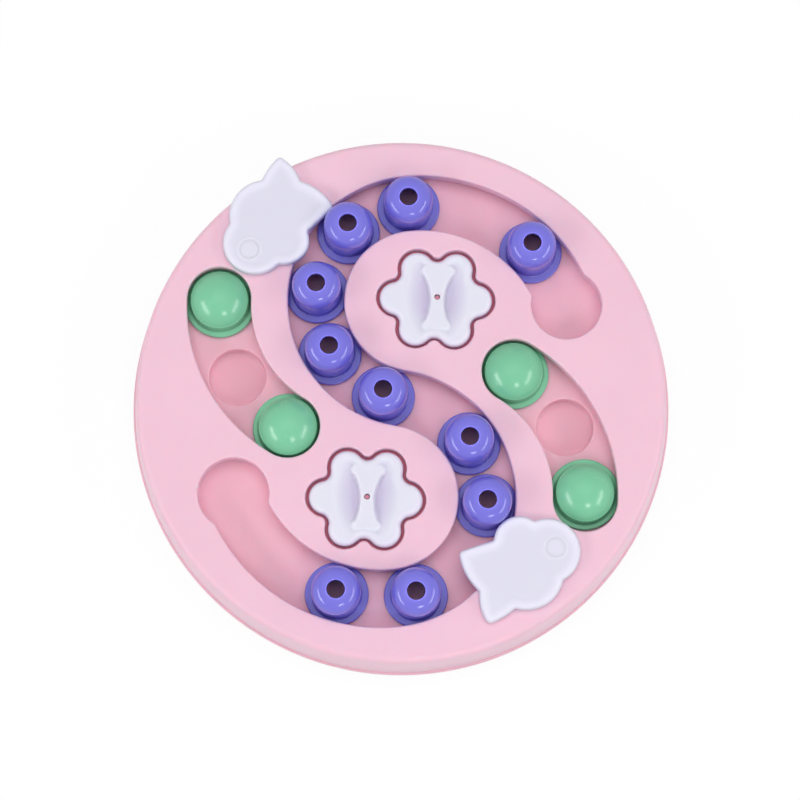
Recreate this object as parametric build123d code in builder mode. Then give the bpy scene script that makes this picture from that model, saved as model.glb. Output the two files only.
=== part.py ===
"""Round slow feeder puzzle for a pet: two shells, an S-shaped sliding track, two side slots,
two flower compartments with lids and two turning fish covers.

Millimetres. +Z is up, the origin is on the ground under the middle of the disc, and -Y is the side
that faces the user. The whole layout of the disc repeats when it is turned by half a turn.
"""

import os
from math import asin, cos, degrees, hypot, radians, sin, sqrt

from build123d import *

os.makedirs("parts", exist_ok=True)

# Shells
base_radius = 125.0
rim_ledge = 1.0
skirt_flare = 2.5
base_rim_height = 4.0
base_rim_round = 1.2
standing_gap = 1.5
tray_wall = 2.0
track_depth = 11.0
floor_thickness = 2.0
deck_height = 28.0
deck_thickness = 3.0
rim_round = 3.0
skirt_wall = 2.2
skirt_clearance = 0.8
shell_seam = 0.15
slot_edge_round = 1.0
cut_overrun = 1.0
match_tolerance = 0.001

# S track: a lobe arc through the middle, then a wider arc out to a keyhole, twice.
# The route and the places on the disc are shares of its base radius.
lobe_share = 0.3712
lobe_bearing = 81.2
outer_arc_share = 0.5688
outer_arc_start = 94.8
outer_arc_end = 18.75
slot_width = 26.0
lip_width = 2.5
neck_round = 2.5
keyhole_clearance = 1.7
collar_wall = 1.6

# Blue track sliders, named from the keyhole on the +X side along the track
flange_clearance = 0.9
flange_thickness = 2.6
flange_headroom = 1.4
flange_round = 0.6
slider_clearance = 2.0
slider_step_clearance = 0.7
step_height = 1.6
step_round = 0.7
slider_height = 23.3
slider_wall = 1.8
slider_hole_radius = 4.1
slider_hole_land = 0.5
slider_hole_round = 0.5
seat_gap = 0.1
first_setback_share = 0.1596
slider_gap_shares = (0.14837, 0.00716, 0.01279, 0.00333, 0.01433, 0.07879, 0.00384, 0.11972, 0.03326)

# Side slots with their round treat wells and green domes
side_arc_share = 0.5336
side_reach_share = 0.3808
side_arc_bearing = 111.5
side_first_bearing = 179.3
side_pitch_share = 0.2744
side_overrun = 1.8
wells_per_slot = 3
side_slot_width = 29.6
well_ledge = 3.2
well_depth = 7.0
well_round = 1.5
dome_clearance = 0.9
dome_step_clearance = 0.35
dome_shift_shares = (-0.0437, 0.0, 0.0466, 0.0)
dome_side_height = 8.6
dome_cap_height = 7.2
dome_edge_round = 1.0
dome_step_round = 0.3
dome_wall = 1.8

# Flower compartments and lids
flower_place_shares = (0.1288, 0.3728)
flower_turn = -2.1
petal_radius = 9.2
petal_overlap = 0.2
petal_side_overlap = 1.3
petal_bearing = 56.7
valley_round = 3.0
cup_ground_gap = 3.0
cup_round = 2.0
lid_gap = 1.5
lid_ledge = 2.0
lid_sink = 0.2
lid_plate = 7.3
lid_wall = 2.0
lid_edge_round = 2.0
dish_finger_room = 9.5
dish_end_room = 2.2
dish_depth = 4.8
bone_waist_width = 7.4
bone_top_knob_radius = 2.9
bone_top_spread = 8.9
bone_bottom_knob_radius = 2.5
bone_bottom_spread = 7.2
bone_length = 30.6
bone_neck_bearing = 60.0
bone_neck_round = 2.0
bone_top_round = 0.5
scent_hole_radius = 1.35
scent_ring_radius = 2.5
scent_ring_height = 0.2

# Fish covers, drawn with the eye at the origin and the tail along +X. The nose, the notch and each side's
# gill, fin, tail root, tail flank, tail tip and tail bulge are shares of the reach and the half width.
fish_pivot_shares = (-0.5608, 0.5552)
fish_bearings = (51.3, 206.9)
fish_reach = 43.0
fish_half_width = 20.6
nose_shares = (-0.252, 0.076)
tail_notch_shares = (0.93, 0.098)
left_side_shares = (
    (0.089, 0.718),
    (0.433, 1.025),
    (0.676, 0.792),
    (0.837, 0.852),
    (1.001, 0.835),
    (1.0, 0.48),
)
right_side_shares = (
    (0.072, -0.726),
    (0.439, -0.971),
    (0.546, -0.749),
    (0.739, -0.816),
    (0.931, -0.87),
    (0.975, -0.349),
)
tail_tip_round = 2.4
fish_corner_round = 1.8
fish_thickness = 4.2
fish_lift = 0.25
fish_edge_round = 1.4
fish_border = 3.8
fish_field_depth = 0.8
field_tip_round = 0.8
fish_well_radius = 11.5
fish_well_depth = 8.0
fish_well_setback_share = 0.407

# Fish pivots
pivot_radius = 2.25
pivot_head_radius = 4.1
pivot_head_height = 1.4
pivot_head_sink = 0.3
pivot_head_clearance = 0.25
pivot_boss_wall = 2.2
pivot_boss_depth = 3.0
pivot_tail = 1.2
washer_width = 1.9
washer_thickness = 1.0
running_fit = 0.05

# Screws and feet
screw_place_shares = ((0.848, 0.096), (0.42, 0.368), (0.496, -0.304))
screw_radius = 1.5
screw_length = 11.0
screw_pilot_depth = 0.8
screw_head_radius = 2.8
screw_head_height = 2.0
screw_slack = 0.2
screw_boss_wall = 2.6
screw_pad_depth = 3.0
foot_bearings = (20.0, 75.0, 112.0, 200.0, 255.0, 292.0)
foot_circle_share = 0.832
foot_radius = 6.5
foot_seat_depth = 1.2
foot_fit = 0.2
foot_post_wall = 1.8
foot_round = 0.5

deck_underside = deck_height - deck_thickness
floor_height = deck_height - track_depth
floor_underside = floor_height - floor_thickness
lip_underside = floor_height + flange_thickness + flange_headroom
rim_top = standing_gap + base_rim_height
skirt_bottom = rim_top + shell_seam
cover_bottom_radius = base_radius - rim_ledge
cover_top_radius = cover_bottom_radius - skirt_flare
tray_radius = cover_top_radius - skirt_wall - skirt_clearance
lobe_radius = lobe_share * base_radius
outer_arc_radius = outer_arc_share * base_radius
channel_width = slot_width + 2 * lip_width
flange_radius = channel_width / 2 - flange_clearance
slider_radius = slot_width / 2 - slider_clearance
slider_step_radius = slot_width / 2 - slider_step_clearance
keyhole_radius = flange_radius + keyhole_clearance
side_arc_radius = side_arc_share * base_radius
side_pitch = side_pitch_share * base_radius
side_channel_width = side_slot_width + 2 * lip_width
dome_flange_radius = side_channel_width / 2 - flange_clearance
well_radius = dome_flange_radius - well_ledge
dome_radius = side_slot_width / 2 - dome_clearance
dome_step_radius = side_slot_width / 2 - dome_step_clearance
dish_half_width = bone_waist_width / 2 + dish_finger_room
dish_half_length = bone_length / 2 + dish_end_room
seat_height = floor_height + seat_gap
fish_underside = deck_height + fish_lift
fish_top = fish_underside + fish_thickness
side_pitch_angle = 2 * degrees(asin(side_pitch / (2 * side_arc_radius)))
side_overrun_angle = degrees(side_overrun / side_arc_radius)


def polar(centre, reach, bearing):
    """Point at a reach and a bearing, in degrees from +X, from a centre."""
    return (centre[0] + reach * cos(radians(bearing)), centre[1] + reach * sin(radians(bearing)))


def on_disc(shares):
    """Place on the disc, given as shares of its base radius."""
    return (shares[0] * base_radius, shares[1] * base_radius)


def opposite(place):
    """The same place on the other half of the disc."""
    return (-place[0], -place[1])


def upright(place, height):
    """Plane through a place whose X points outwards along +X and whose Y points up."""
    return Plane(origin=(place[0], place[1], height), x_dir=(1, 0, 0), z_dir=(0, -1, 0))


middle = (0, 0)
lobe_centre = polar(middle, lobe_radius, lobe_bearing)
outer_arc_centre = polar(lobe_centre, lobe_radius - outer_arc_radius, outer_arc_start)
keyhole_place = polar(outer_arc_centre, outer_arc_radius, outer_arc_end)
keyhole_places = (keyhole_place, opposite(keyhole_place))
lobe_sweep = outer_arc_start - lobe_bearing - 180
outer_sweep = outer_arc_end - outer_arc_start
lobe_length = lobe_radius * radians(-lobe_sweep)
track_half_length = lobe_length + outer_arc_radius * radians(-outer_sweep)
side_arc_centre = polar(middle, side_reach_share * base_radius, side_arc_bearing)
flower_place = on_disc(flower_place_shares)
flower_places = (flower_place, opposite(flower_place))
fish_pivot_place = on_disc(fish_pivot_shares)
fish_pivot_places = (fish_pivot_place, opposite(fish_pivot_place))
fish_well_place = polar(fish_pivot_place, fish_well_setback_share * fish_reach, fish_bearings[0])
fish_well_places = (fish_well_place, opposite(fish_well_place))
screw_places = tuple(on_disc(shares) for shares in screw_place_shares)
all_screw_places = screw_places + tuple(opposite(place) for place in screw_places)
foot_circle_radius = foot_circle_share * base_radius
foot_places = tuple(polar(middle, foot_circle_radius, bearing) for bearing in foot_bearings)


def track_point(travel):
    """Point of the track's middle line, by its length from the middle of the disc."""
    if travel < 0:
        return opposite(track_point(-travel))
    if travel <= lobe_length:
        return polar(lobe_centre, lobe_radius, lobe_bearing + 180 - degrees(travel / lobe_radius))
    rest = degrees((travel - lobe_length) / outer_arc_radius)
    return polar(outer_arc_centre, outer_arc_radius, outer_arc_start - rest)


def side_point(slot, bearing):
    """Point of a side slot's middle line, by its bearing in the first slot."""
    place = polar(side_arc_centre, side_arc_radius, bearing)
    return place if slot == 0 else opposite(place)


side_start_bearing = side_first_bearing - side_overrun_angle
side_well_bearings = [side_first_bearing + well * side_pitch_angle for well in range(wells_per_slot)]
side_wells = [side_point(slot, bearing) for slot in range(2) for bearing in side_well_bearings]

# Each slider stands one flange and one gap further along the track than the one before it
slider_spaces = len(slider_gap_shares)
track_slack = 2 * (track_half_length - slider_spaces * flange_radius)
slider_travels = [track_half_length - first_setback_share * track_slack]
for gap_share in slider_gap_shares:
    spacing = 2 * flange_radius + gap_share * track_slack
    slider_travels.append(slider_travels[-1] - 2 * lobe_radius * asin(spacing / (2 * lobe_radius)))


def track_band(width):
    """The S track at a given width, closed straight across at both keyholes."""
    with BuildSketch() as band:
        with BuildLine():
            for turn, lobe, outer in (
                (0, lobe_centre, outer_arc_centre),
                (180, opposite(lobe_centre), opposite(outer_arc_centre)),
            ):
                for reach in (width / 2, -width / 2):
                    CenterArc(lobe, lobe_radius + reach, lobe_bearing + 180 + turn, lobe_sweep)
                    CenterArc(outer, outer_arc_radius + reach, outer_arc_start + turn, outer_sweep)
                Line(
                    polar(outer, outer_arc_radius - width / 2, outer_arc_end + turn),
                    polar(outer, outer_arc_radius + width / 2, outer_arc_end + turn),
                )
        make_face()
    return band.sketch


def track_slot():
    """Opening of the S track in the deck: the slot, its two keyholes and their rounded necks."""
    with BuildSketch() as slot:
        add(track_band(slot_width))
        with Locations(*keyhole_places):
            Circle(keyhole_radius)
        necks = [
            corner
            for corner in slot.vertices()
            for place in keyhole_places
            if abs(hypot(corner.X - place[0], corner.Y - place[1]) - keyhole_radius) < match_tolerance
        ]
        fillet(necks, neck_round)
    return slot.sketch


def side_slot(slot, width):
    """One curved side slot of a given width, round at both ends."""
    centre = side_arc_centre if slot == 0 else opposite(side_arc_centre)
    start = side_start_bearing + 180 * slot
    sweep = side_well_bearings[-1] - side_start_bearing
    with BuildSketch() as band:
        with BuildLine():
            for reach in (width / 2, -width / 2):
                CenterArc(centre, side_arc_radius + reach, start, sweep)
            for bearing in (start, start + sweep):
                Line(
                    polar(centre, side_arc_radius - width / 2, bearing),
                    polar(centre, side_arc_radius + width / 2, bearing),
                )
        make_face()
        with Locations(side_point(slot, side_start_bearing), side_point(slot, side_well_bearings[-1])):
            Circle(width / 2)
    return band.sketch


def flower(place, inset):
    """Six-petal outline around a place, drawn in by an inset."""
    spacing = 2 * petal_radius - petal_side_overlap
    corner_x = petal_radius - petal_overlap
    corner_y = spacing * sin(radians(petal_bearing))
    side_x = corner_x + spacing * cos(radians(petal_bearing))
    petals = [
        (side_x, 0),
        (corner_x, corner_y),
        (-corner_x, corner_y),
        (-side_x, 0),
        (-corner_x, -corner_y),
        (corner_x, -corner_y),
    ]
    with BuildSketch(mode=Mode.PRIVATE) as petal_ring:
        Polygon(*petals, align=None)
        with Locations(*petals):
            Circle(petal_radius)
        fillet(petal_ring.vertices(), valley_round)
        offset(amount=-inset, mode=Mode.REPLACE)
    with BuildSketch() as placed:
        with Locations(Location((place[0], place[1], 0), flower_turn)):
            add(petal_ring.sketch)
    return placed.sketch


def fish_outline(inset):
    """Fish with its eye at the origin and its tail along +X, drawn in by an inset."""

    def outline_point(shares):
        return (shares[0] * fish_reach, shares[1] * fish_half_width)

    nose = outline_point(nose_shares)
    notch = outline_point(tail_notch_shares)
    tips = []
    valleys = [notch]
    with BuildSketch() as fish:
        with BuildLine():
            ThreePointArc(outline_point(right_side_shares[0]), nose, outline_point(left_side_shares[0]))
            for side_shares in (left_side_shares, right_side_shares):
                gill, fin, tail_root, tail_flank, tail_tip, tail_bulge = map(outline_point, side_shares)
                ThreePointArc(gill, fin, tail_root)
                ThreePointArc(tail_root, tail_flank, tail_tip)
                ThreePointArc(tail_tip, tail_bulge, notch)
                tips.append(tail_tip)
                valleys += [gill, tail_root]
        make_face()
        if inset > 0:
            offset(amount=-inset, mode=Mode.REPLACE)
            fillet([fish.vertices().sort_by_distance(tip)[0] for tip in tips], field_tip_round)
        else:
            fillet([fish.vertices().sort_by_distance(tip)[0] for tip in tips], tail_tip_round)
            fillet([fish.vertices().sort_by_distance(valley)[0] for valley in valleys], fish_corner_round)
    return fish.sketch


def bone():
    """Bone-shaped grip along Y, with the larger knobs at +Y and hollow sides."""
    top_y = bone_length / 2 - bone_top_knob_radius
    bottom_y = bone_bottom_knob_radius - bone_length / 2
    top_reach = bone_top_knob_radius * cos(radians(bone_neck_bearing))
    top_drop = bone_top_knob_radius * sin(radians(bone_neck_bearing))
    bottom_reach = bone_bottom_knob_radius * cos(radians(bone_neck_bearing))
    bottom_rise = bone_bottom_knob_radius * sin(radians(bone_neck_bearing))
    top_end = bone_length / 2
    necks = []
    with BuildSketch() as grip:
        with BuildLine():
            for side in (1, -1):
                top_neck = (side * (bone_top_spread / 2 + top_reach), top_y - top_drop)
                bottom_neck = (side * (bone_bottom_spread / 2 + bottom_reach), bottom_y + bottom_rise)
                top_knob_side = (side * (bone_top_spread / 2 + bone_top_knob_radius), top_y)
                bottom_knob_side = (side * (bone_bottom_spread / 2 + bone_bottom_knob_radius), bottom_y)
                ThreePointArc((side * bone_top_spread / 2, top_end), top_knob_side, top_neck)
                ThreePointArc(top_neck, (side * bone_waist_width / 2, 0), bottom_neck)
                ThreePointArc(bottom_neck, bottom_knob_side, (side * bone_bottom_spread / 2, -top_end))
                necks += [top_neck, bottom_neck]
            Line((-bone_top_spread / 2, top_end), (bone_top_spread / 2, top_end))
            Line((-bone_bottom_spread / 2, -top_end), (bone_bottom_spread / 2, -top_end))
        make_face()
        fillet([grip.vertices().sort_by_distance(neck)[0] for neck in necks], bone_neck_round)
    return grip.sketch


# Lower shell: track floor, treat wells, flower cups, screw pads, foot posts and bottom rim
well_floor = floor_height - well_depth
cup_floor = cup_ground_gap + tray_wall
fish_well_floor = floor_height - fish_well_depth
cup_inset = lid_gap + lid_ledge
screw_pad_radius = screw_radius + screw_slack + screw_boss_wall
screw_pad_underside = floor_underside - screw_pad_depth
screw_tip = screw_pad_underside + screw_length
foot_seat_radius = foot_radius + foot_fit

with BuildPart() as base_tray:
    with BuildSketch(Plane.XZ) as tray_section:
        with BuildLine():
            Polyline(
                (0, floor_height),
                (tray_radius, floor_height),
                (tray_radius, rim_top),
                (base_radius, rim_top),
                (base_radius, standing_gap),
                (tray_radius - tray_wall, standing_gap),
                (tray_radius - tray_wall, floor_underside),
                (0, floor_underside),
                close=True,
            )
        make_face()
        fillet(tray_section.vertices().group_by(Axis.X)[-1], base_rim_round)
    revolve(axis=Axis.Z)
    with BuildSketch(Plane.XY.offset(well_floor - tray_wall)):
        with Locations(*side_wells):
            Circle(well_radius + tray_wall)
    extrude(amount=floor_height - well_floor)
    with BuildSketch(Plane.XY.offset(fish_well_floor - tray_wall)):
        with Locations(*fish_well_places):
            Circle(fish_well_radius + tray_wall)
    extrude(amount=floor_height - fish_well_floor)
    with BuildSketch(Plane.XY.offset(cup_floor - tray_wall)):
        for place in flower_places:
            add(flower(place, cup_inset - tray_wall))
    extrude(amount=floor_height - cup_floor)
    with BuildSketch(Plane.XY.offset(screw_pad_underside)):
        with Locations(*all_screw_places):
            Circle(screw_pad_radius)
    extrude(amount=screw_pad_depth + floor_thickness)
    with BuildSketch(Plane.XY.offset(standing_gap)):
        with Locations(*foot_places):
            Circle(foot_seat_radius + foot_post_wall)
    extrude(amount=floor_height - standing_gap)
    with BuildSketch(Plane.XY.offset(well_floor)):
        with Locations(*side_wells):
            Circle(well_radius)
    extrude(amount=well_depth + cut_overrun, mode=Mode.SUBTRACT)
    with BuildSketch(Plane.XY.offset(fish_well_floor)):
        with Locations(*fish_well_places):
            Circle(fish_well_radius)
    extrude(amount=fish_well_depth + cut_overrun, mode=Mode.SUBTRACT)
    with BuildSketch(Plane.XY.offset(cup_floor)):
        for place in flower_places:
            add(flower(place, cup_inset))
    extrude(amount=floor_height - cup_floor + cut_overrun, mode=Mode.SUBTRACT)
    with BuildSketch(Plane.XY.offset(screw_pad_underside)):
        with Locations(*all_screw_places):
            Circle(screw_radius + screw_slack)
    extrude(amount=screw_pad_depth + floor_thickness, mode=Mode.SUBTRACT)
    with BuildSketch(Plane.XY.offset(standing_gap)):
        with Locations(*foot_places):
            Circle(foot_seat_radius)
    extrude(amount=foot_seat_depth, mode=Mode.SUBTRACT)
    floor_rounds = ((well_floor, well_round), (fish_well_floor, well_round), (cup_floor, cup_round))
    for level, corner_round in floor_rounds:
        wells = base_tray.faces().filter_by(Axis.Z).filter_by_position(Axis.Z, level, level)
        fillet(wells.filter_by(lambda face: face.normal_at().Z > 0).edges(), corner_round)
base_tray.part.label = "base_tray"
export_step(base_tray.part, "parts/base_tray.step")

# Upper shell: deck, rounded rim and flaring skirt, with the guide channels hanging from the deck
channel_height = deck_underside - floor_height
pivot_boss_radius = pivot_radius + running_fit + pivot_boss_wall
screw_boss_radius = screw_radius + running_fit + screw_boss_wall

with BuildPart() as track_cover:
    with BuildSketch(Plane.XZ) as cover_section:
        with BuildLine():
            Polyline(
                (0, deck_height),
                (cover_top_radius, deck_height),
                (cover_bottom_radius, skirt_bottom),
                (cover_bottom_radius - skirt_wall, skirt_bottom),
                (cover_top_radius - skirt_wall, deck_underside),
                (0, deck_underside),
                close=True,
            )
        make_face()
        rim_corner = cover_section.vertices().sort_by_distance((cover_top_radius, deck_height))[0]
        fillet(rim_corner, rim_round)
    revolve(axis=Axis.Z)
    with BuildSketch(Plane.XY.offset(floor_height)):
        add(track_band(channel_width + 2 * collar_wall))
        with Locations(*keyhole_places):
            Circle(keyhole_radius + collar_wall)
        for slot in range(2):
            add(side_slot(slot, side_channel_width + 2 * collar_wall))
        for place in flower_places:
            add(flower(place, -collar_wall))
        with Locations(*fish_well_places):
            Circle(fish_well_radius + collar_wall)
        with Locations(*all_screw_places):
            Circle(screw_boss_radius)
    extrude(amount=channel_height)
    with BuildSketch(Plane.XY.offset(deck_underside - pivot_boss_depth)):
        with Locations(*fish_pivot_places):
            Circle(pivot_boss_radius)
    extrude(amount=pivot_boss_depth)
    with BuildSketch(Plane.XY.offset(floor_height)):
        add(track_slot())
        for slot in range(2):
            add(side_slot(slot, side_slot_width))
        for place in flower_places:
            add(flower(place, 0))
        with Locations(*fish_well_places):
            Circle(fish_well_radius)
    extrude(amount=deck_height - floor_height + cut_overrun, mode=Mode.SUBTRACT)
    with BuildSketch(Plane.XY.offset(floor_height)):
        add(track_band(channel_width))
        for slot in range(2):
            add(side_slot(slot, side_channel_width))
    extrude(amount=lip_underside - floor_height, mode=Mode.SUBTRACT)
    with BuildSketch(Plane.XY.offset(floor_height)):
        with Locations(*all_screw_places):
            Circle(screw_radius + running_fit)
    extrude(amount=screw_tip + screw_pilot_depth - floor_height, mode=Mode.SUBTRACT)
    deck_face = track_cover.faces().filter_by(Axis.Z).sort_by(Axis.Z)[-1]
    fillet(deck_face.inner_wires().edges(), slot_edge_round)
    with BuildSketch(Plane.XY.offset(deck_height)):
        with Locations(*fish_pivot_places):
            Circle(pivot_radius + running_fit)
    extrude(amount=-deck_thickness - pivot_boss_depth, mode=Mode.SUBTRACT)
track_cover.part.label = "track_cover"
export_step(track_cover.part, "parts/track_cover.step")

# Blue track sliders: a hollow cap with a hole in its rounded top, on a stepped flange
slider_top_round = slider_radius - slider_hole_radius - slider_hole_land
slider_step_top = flange_thickness + step_height
slider_shoulder = slider_height - slider_top_round
slider_inner_radius = slider_radius - slider_wall
slider_inner_round = slider_inner_radius - slider_hole_radius

for number, travel in enumerate(slider_travels, start=1):
    slider_place = track_point(travel)
    slider_name = f"track_slider_{number}"
    with BuildPart() as track_slider:
        with BuildSketch(upright(slider_place, seat_height)) as slider_section:
            with BuildLine():
                Polyline(
                    (slider_inner_radius, 0),
                    (flange_radius, 0),
                    (flange_radius, flange_thickness),
                    (slider_step_radius, flange_thickness),
                    (slider_step_radius, slider_step_top),
                    (slider_radius, slider_step_top),
                    (slider_radius, slider_shoulder),
                )
                RadiusArc(
                    (slider_radius, slider_shoulder),
                    (slider_radius - slider_top_round, slider_height),
                    -slider_top_round,
                )
                Polyline(
                    (slider_radius - slider_top_round, slider_height),
                    (slider_hole_radius, slider_height),
                    (slider_hole_radius, slider_height - slider_wall),
                )
                RadiusArc(
                    (slider_hole_radius, slider_height - slider_wall),
                    (slider_inner_radius, slider_height - slider_wall - slider_inner_round),
                    slider_inner_round,
                )
                Line(
                    (slider_inner_radius, slider_height - slider_wall - slider_inner_round),
                    (slider_inner_radius, 0),
                )
            make_face()
            fillet(slider_section.vertices().group_by(Axis.X)[-1], flange_round)
            step_corner = (slider_step_radius, slider_step_top)
            fillet(slider_section.vertices().sort_by_distance(step_corner)[0], step_round)
            hole_corner = (slider_hole_radius, slider_height)
            fillet(slider_section.vertices().sort_by_distance(hole_corner)[0], slider_hole_round)
        revolve(axis=Axis((slider_place[0], slider_place[1], 0), (0, 0, 1)))
    track_slider.part.label = slider_name
    export_step(track_slider.part, f"parts/{slider_name}.step")

# Green domes: a hollow cap with a ball-shaped top, on a stepped flange
dome_step_top = flange_thickness + step_height
dome_height = dome_side_height + dome_cap_height
dome_inner_radius = dome_radius - dome_wall
dome_cap_radius = (dome_radius**2 + dome_cap_height**2) / (2 * dome_cap_height)
dome_inner_cap_radius = dome_cap_radius - dome_wall
dome_inner_side = dome_height - dome_cap_radius + sqrt(dome_inner_cap_radius**2 - dome_inner_radius**2)
dome_wells = [(slot, well) for slot in range(2) for well in (0, wells_per_slot - 1)]

for number, ((slot, well), shift_share) in enumerate(zip(dome_wells, dome_shift_shares), start=1):
    dome_shift_angle = degrees(shift_share * side_pitch / side_arc_radius)
    dome_place = side_point(slot, side_well_bearings[well] + dome_shift_angle)
    dome_name = f"dome_slider_{number}"
    with BuildPart() as dome_slider:
        with BuildSketch(upright(dome_place, seat_height)) as dome_section:
            with BuildLine():
                Polyline(
                    (dome_inner_radius, 0),
                    (dome_flange_radius, 0),
                    (dome_flange_radius, flange_thickness),
                    (dome_step_radius, flange_thickness),
                    (dome_step_radius, dome_step_top),
                    (dome_radius, dome_step_top),
                    (dome_radius, dome_side_height),
                )
                RadiusArc((dome_radius, dome_side_height), (0, dome_height), -dome_cap_radius)
                Line((0, dome_height), (0, dome_height - dome_wall))
                RadiusArc(
                    (0, dome_height - dome_wall),
                    (dome_inner_radius, dome_inner_side),
                    dome_inner_cap_radius,
                )
                Line((dome_inner_radius, dome_inner_side), (dome_inner_radius, 0))
            make_face()
            fillet(dome_section.vertices().group_by(Axis.X)[-1], flange_round)
            step_corner = dome_section.vertices().sort_by_distance((dome_step_radius, dome_step_top))[0]
            fillet(step_corner, dome_step_round)
            edge_corner = dome_section.vertices().sort_by_distance((dome_radius, dome_side_height))[0]
            fillet(edge_corner, dome_edge_round)
        revolve(axis=Axis((dome_place[0], dome_place[1], 0), (0, 0, 1)))
    dome_slider.part.label = dome_name
    export_step(dome_slider.part, f"parts/{dome_name}.step")

# Flower lids: a plug with a skirt, a finger dish on each side of the bone and a scent hole
lid_top = deck_height - lid_sink
lid_plate_underside = lid_top - lid_plate
dish_section_radius = (dish_half_width**2 + dish_depth**2) / (2 * dish_depth)
dish_axis_height = lid_top + dish_section_radius - dish_depth

with BuildPart() as bone_grip:
    with BuildSketch():
        add(bone())
    extrude(amount=dish_depth + scent_ring_height)
    fillet(bone_grip.faces().sort_by(Axis.Z)[-1].edges(), bone_top_round)

for number, place in enumerate(flower_places, start=1):
    lid_name = f"flower_lid_{number}"
    lid_plane = Plane.XY.offset(lid_top).shift_origin((place[0], place[1], lid_top))
    lid_plane = lid_plane.rotated((0, 0, flower_turn))
    with BuildPart() as flower_lid:
        with BuildSketch(Plane.XY.offset(seat_height)):
            add(flower(place, lid_gap))
        extrude(amount=lid_top - seat_height)
        top_face = flower_lid.faces().filter_by(Axis.Z).sort_by(Axis.Z)[-1]
        fillet(top_face.edges(), lid_edge_round)
        with BuildSketch(Plane.XY.offset(seat_height)):
            add(flower(place, lid_gap + lid_wall))
        extrude(amount=lid_plate_underside - seat_height, mode=Mode.SUBTRACT)
        dish_plane = Plane(
            origin=(place[0], place[1], dish_axis_height), x_dir=lid_plane.y_dir, z_dir=lid_plane.x_dir
        )
        with BuildSketch(dish_plane):
            with BuildLine():
                ThreePointArc(
                    (-dish_half_length, dish_depth - dish_section_radius),
                    (0, -dish_section_radius),
                    (dish_half_length, dish_depth - dish_section_radius),
                )
                Polyline(
                    (dish_half_length, dish_depth - dish_section_radius),
                    (dish_half_length, 0),
                    (-dish_half_length, 0),
                    (-dish_half_length, dish_depth - dish_section_radius),
                )
            make_face()
        revolve(axis=Axis(dish_plane.origin, dish_plane.x_dir), mode=Mode.SUBTRACT)
        with Locations(lid_plane.offset(-dish_depth - scent_ring_height)):
            add(bone_grip.part)
        with BuildSketch(lid_plane):
            Circle(scent_ring_radius)
        extrude(amount=scent_ring_height)
        with BuildSketch(lid_plane.offset(scent_ring_height)):
            Circle(scent_hole_radius)
        extrude(amount=-lid_plate - scent_ring_height, mode=Mode.SUBTRACT)
    flower_lid.part.label = lid_name
    export_step(flower_lid.part, f"parts/{lid_name}.step")

# Fish covers, their pivots and the washers that hold the pivots under the deck
head_seat = fish_top - pivot_head_sink - pivot_head_height
washer_top = deck_underside - pivot_boss_depth
washer_underside = washer_top - washer_thickness

for number, (place, bearing) in enumerate(zip(fish_pivot_places, fish_bearings), start=1):
    fish_plane = Plane.XY.offset(fish_underside).shift_origin((place[0], place[1], fish_underside))
    fish_plane = fish_plane.rotated((0, 0, bearing))
    with BuildPart() as fish_cover:
        with BuildSketch(fish_plane):
            add(fish_outline(0))
        extrude(amount=fish_thickness)
        fillet(fish_cover.faces().sort_by(Axis.Z)[-1].edges(), fish_edge_round)
        with BuildSketch(fish_plane.offset(fish_thickness)):
            add(fish_outline(fish_border))
        extrude(amount=-fish_field_depth, mode=Mode.SUBTRACT)
        with BuildSketch(fish_plane):
            Circle(pivot_radius + running_fit)
        extrude(amount=fish_thickness, mode=Mode.SUBTRACT)
        with BuildSketch(fish_plane.offset(head_seat - fish_underside)):
            Circle(pivot_head_radius + pivot_head_clearance)
        extrude(amount=fish_top - head_seat, mode=Mode.SUBTRACT)
    fish_cover.part.label = f"fish_cover_{number}"
    export_step(fish_cover.part, f"parts/fish_cover_{number}.step")

    with BuildPart() as fish_pivot:
        with BuildSketch(fish_plane.offset(head_seat + running_fit - fish_underside)):
            Circle(pivot_head_radius)
        extrude(amount=pivot_head_height)
        with BuildSketch(Plane.XY.offset(washer_underside - pivot_tail)):
            with Locations(place):
                Circle(pivot_radius)
        extrude(amount=head_seat + running_fit - washer_underside + pivot_tail)
    fish_pivot.part.label = f"fish_pivot_{number}"
    export_step(fish_pivot.part, f"parts/fish_pivot_{number}.step")

    with BuildPart() as pivot_washer:
        with BuildSketch(Plane.XY.offset(washer_underside)):
            with Locations(place):
                Circle(pivot_radius + washer_width)
                Circle(pivot_radius + running_fit, mode=Mode.SUBTRACT)
        extrude(amount=washer_thickness)
    pivot_washer.part.label = f"pivot_washer_{number}"
    export_step(pivot_washer.part, f"parts/pivot_washer_{number}.step")

# Self-tapping screws that hold the shells together from below
with BuildPart() as cover_screws:
    with BuildSketch(Plane.XY.offset(screw_pad_underside - screw_head_height)):
        with Locations(*all_screw_places):
            Circle(screw_head_radius)
    extrude(amount=screw_head_height)
    with BuildSketch(Plane.XY.offset(screw_pad_underside)):
        with Locations(*all_screw_places):
            Circle(screw_radius)
    extrude(amount=screw_length)
cover_screws.part.label = "cover_screws"
export_step(cover_screws.part, "parts/cover_screws.step")

# Non-slip feet
with BuildPart() as rubber_feet:
    with BuildSketch(Plane.XY):
        with Locations(*foot_places):
            Circle(foot_radius)
    extrude(amount=standing_gap + foot_seat_depth)
    fillet(rubber_feet.faces().filter_by(Axis.Z).group_by(Axis.Z)[0].edges(), foot_round)
rubber_feet.part.label = "rubber_feet"
export_step(rubber_feet.part, "parts/rubber_feet.step")
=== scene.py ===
"""Round treat puzzle for a pet: the looks of its shells, sliders, domes, lids and fish covers.

Metres and radians. +Z is up and the user sits at -Y. The layout repeats when it is turned by half a turn.
"""

import math

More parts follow.
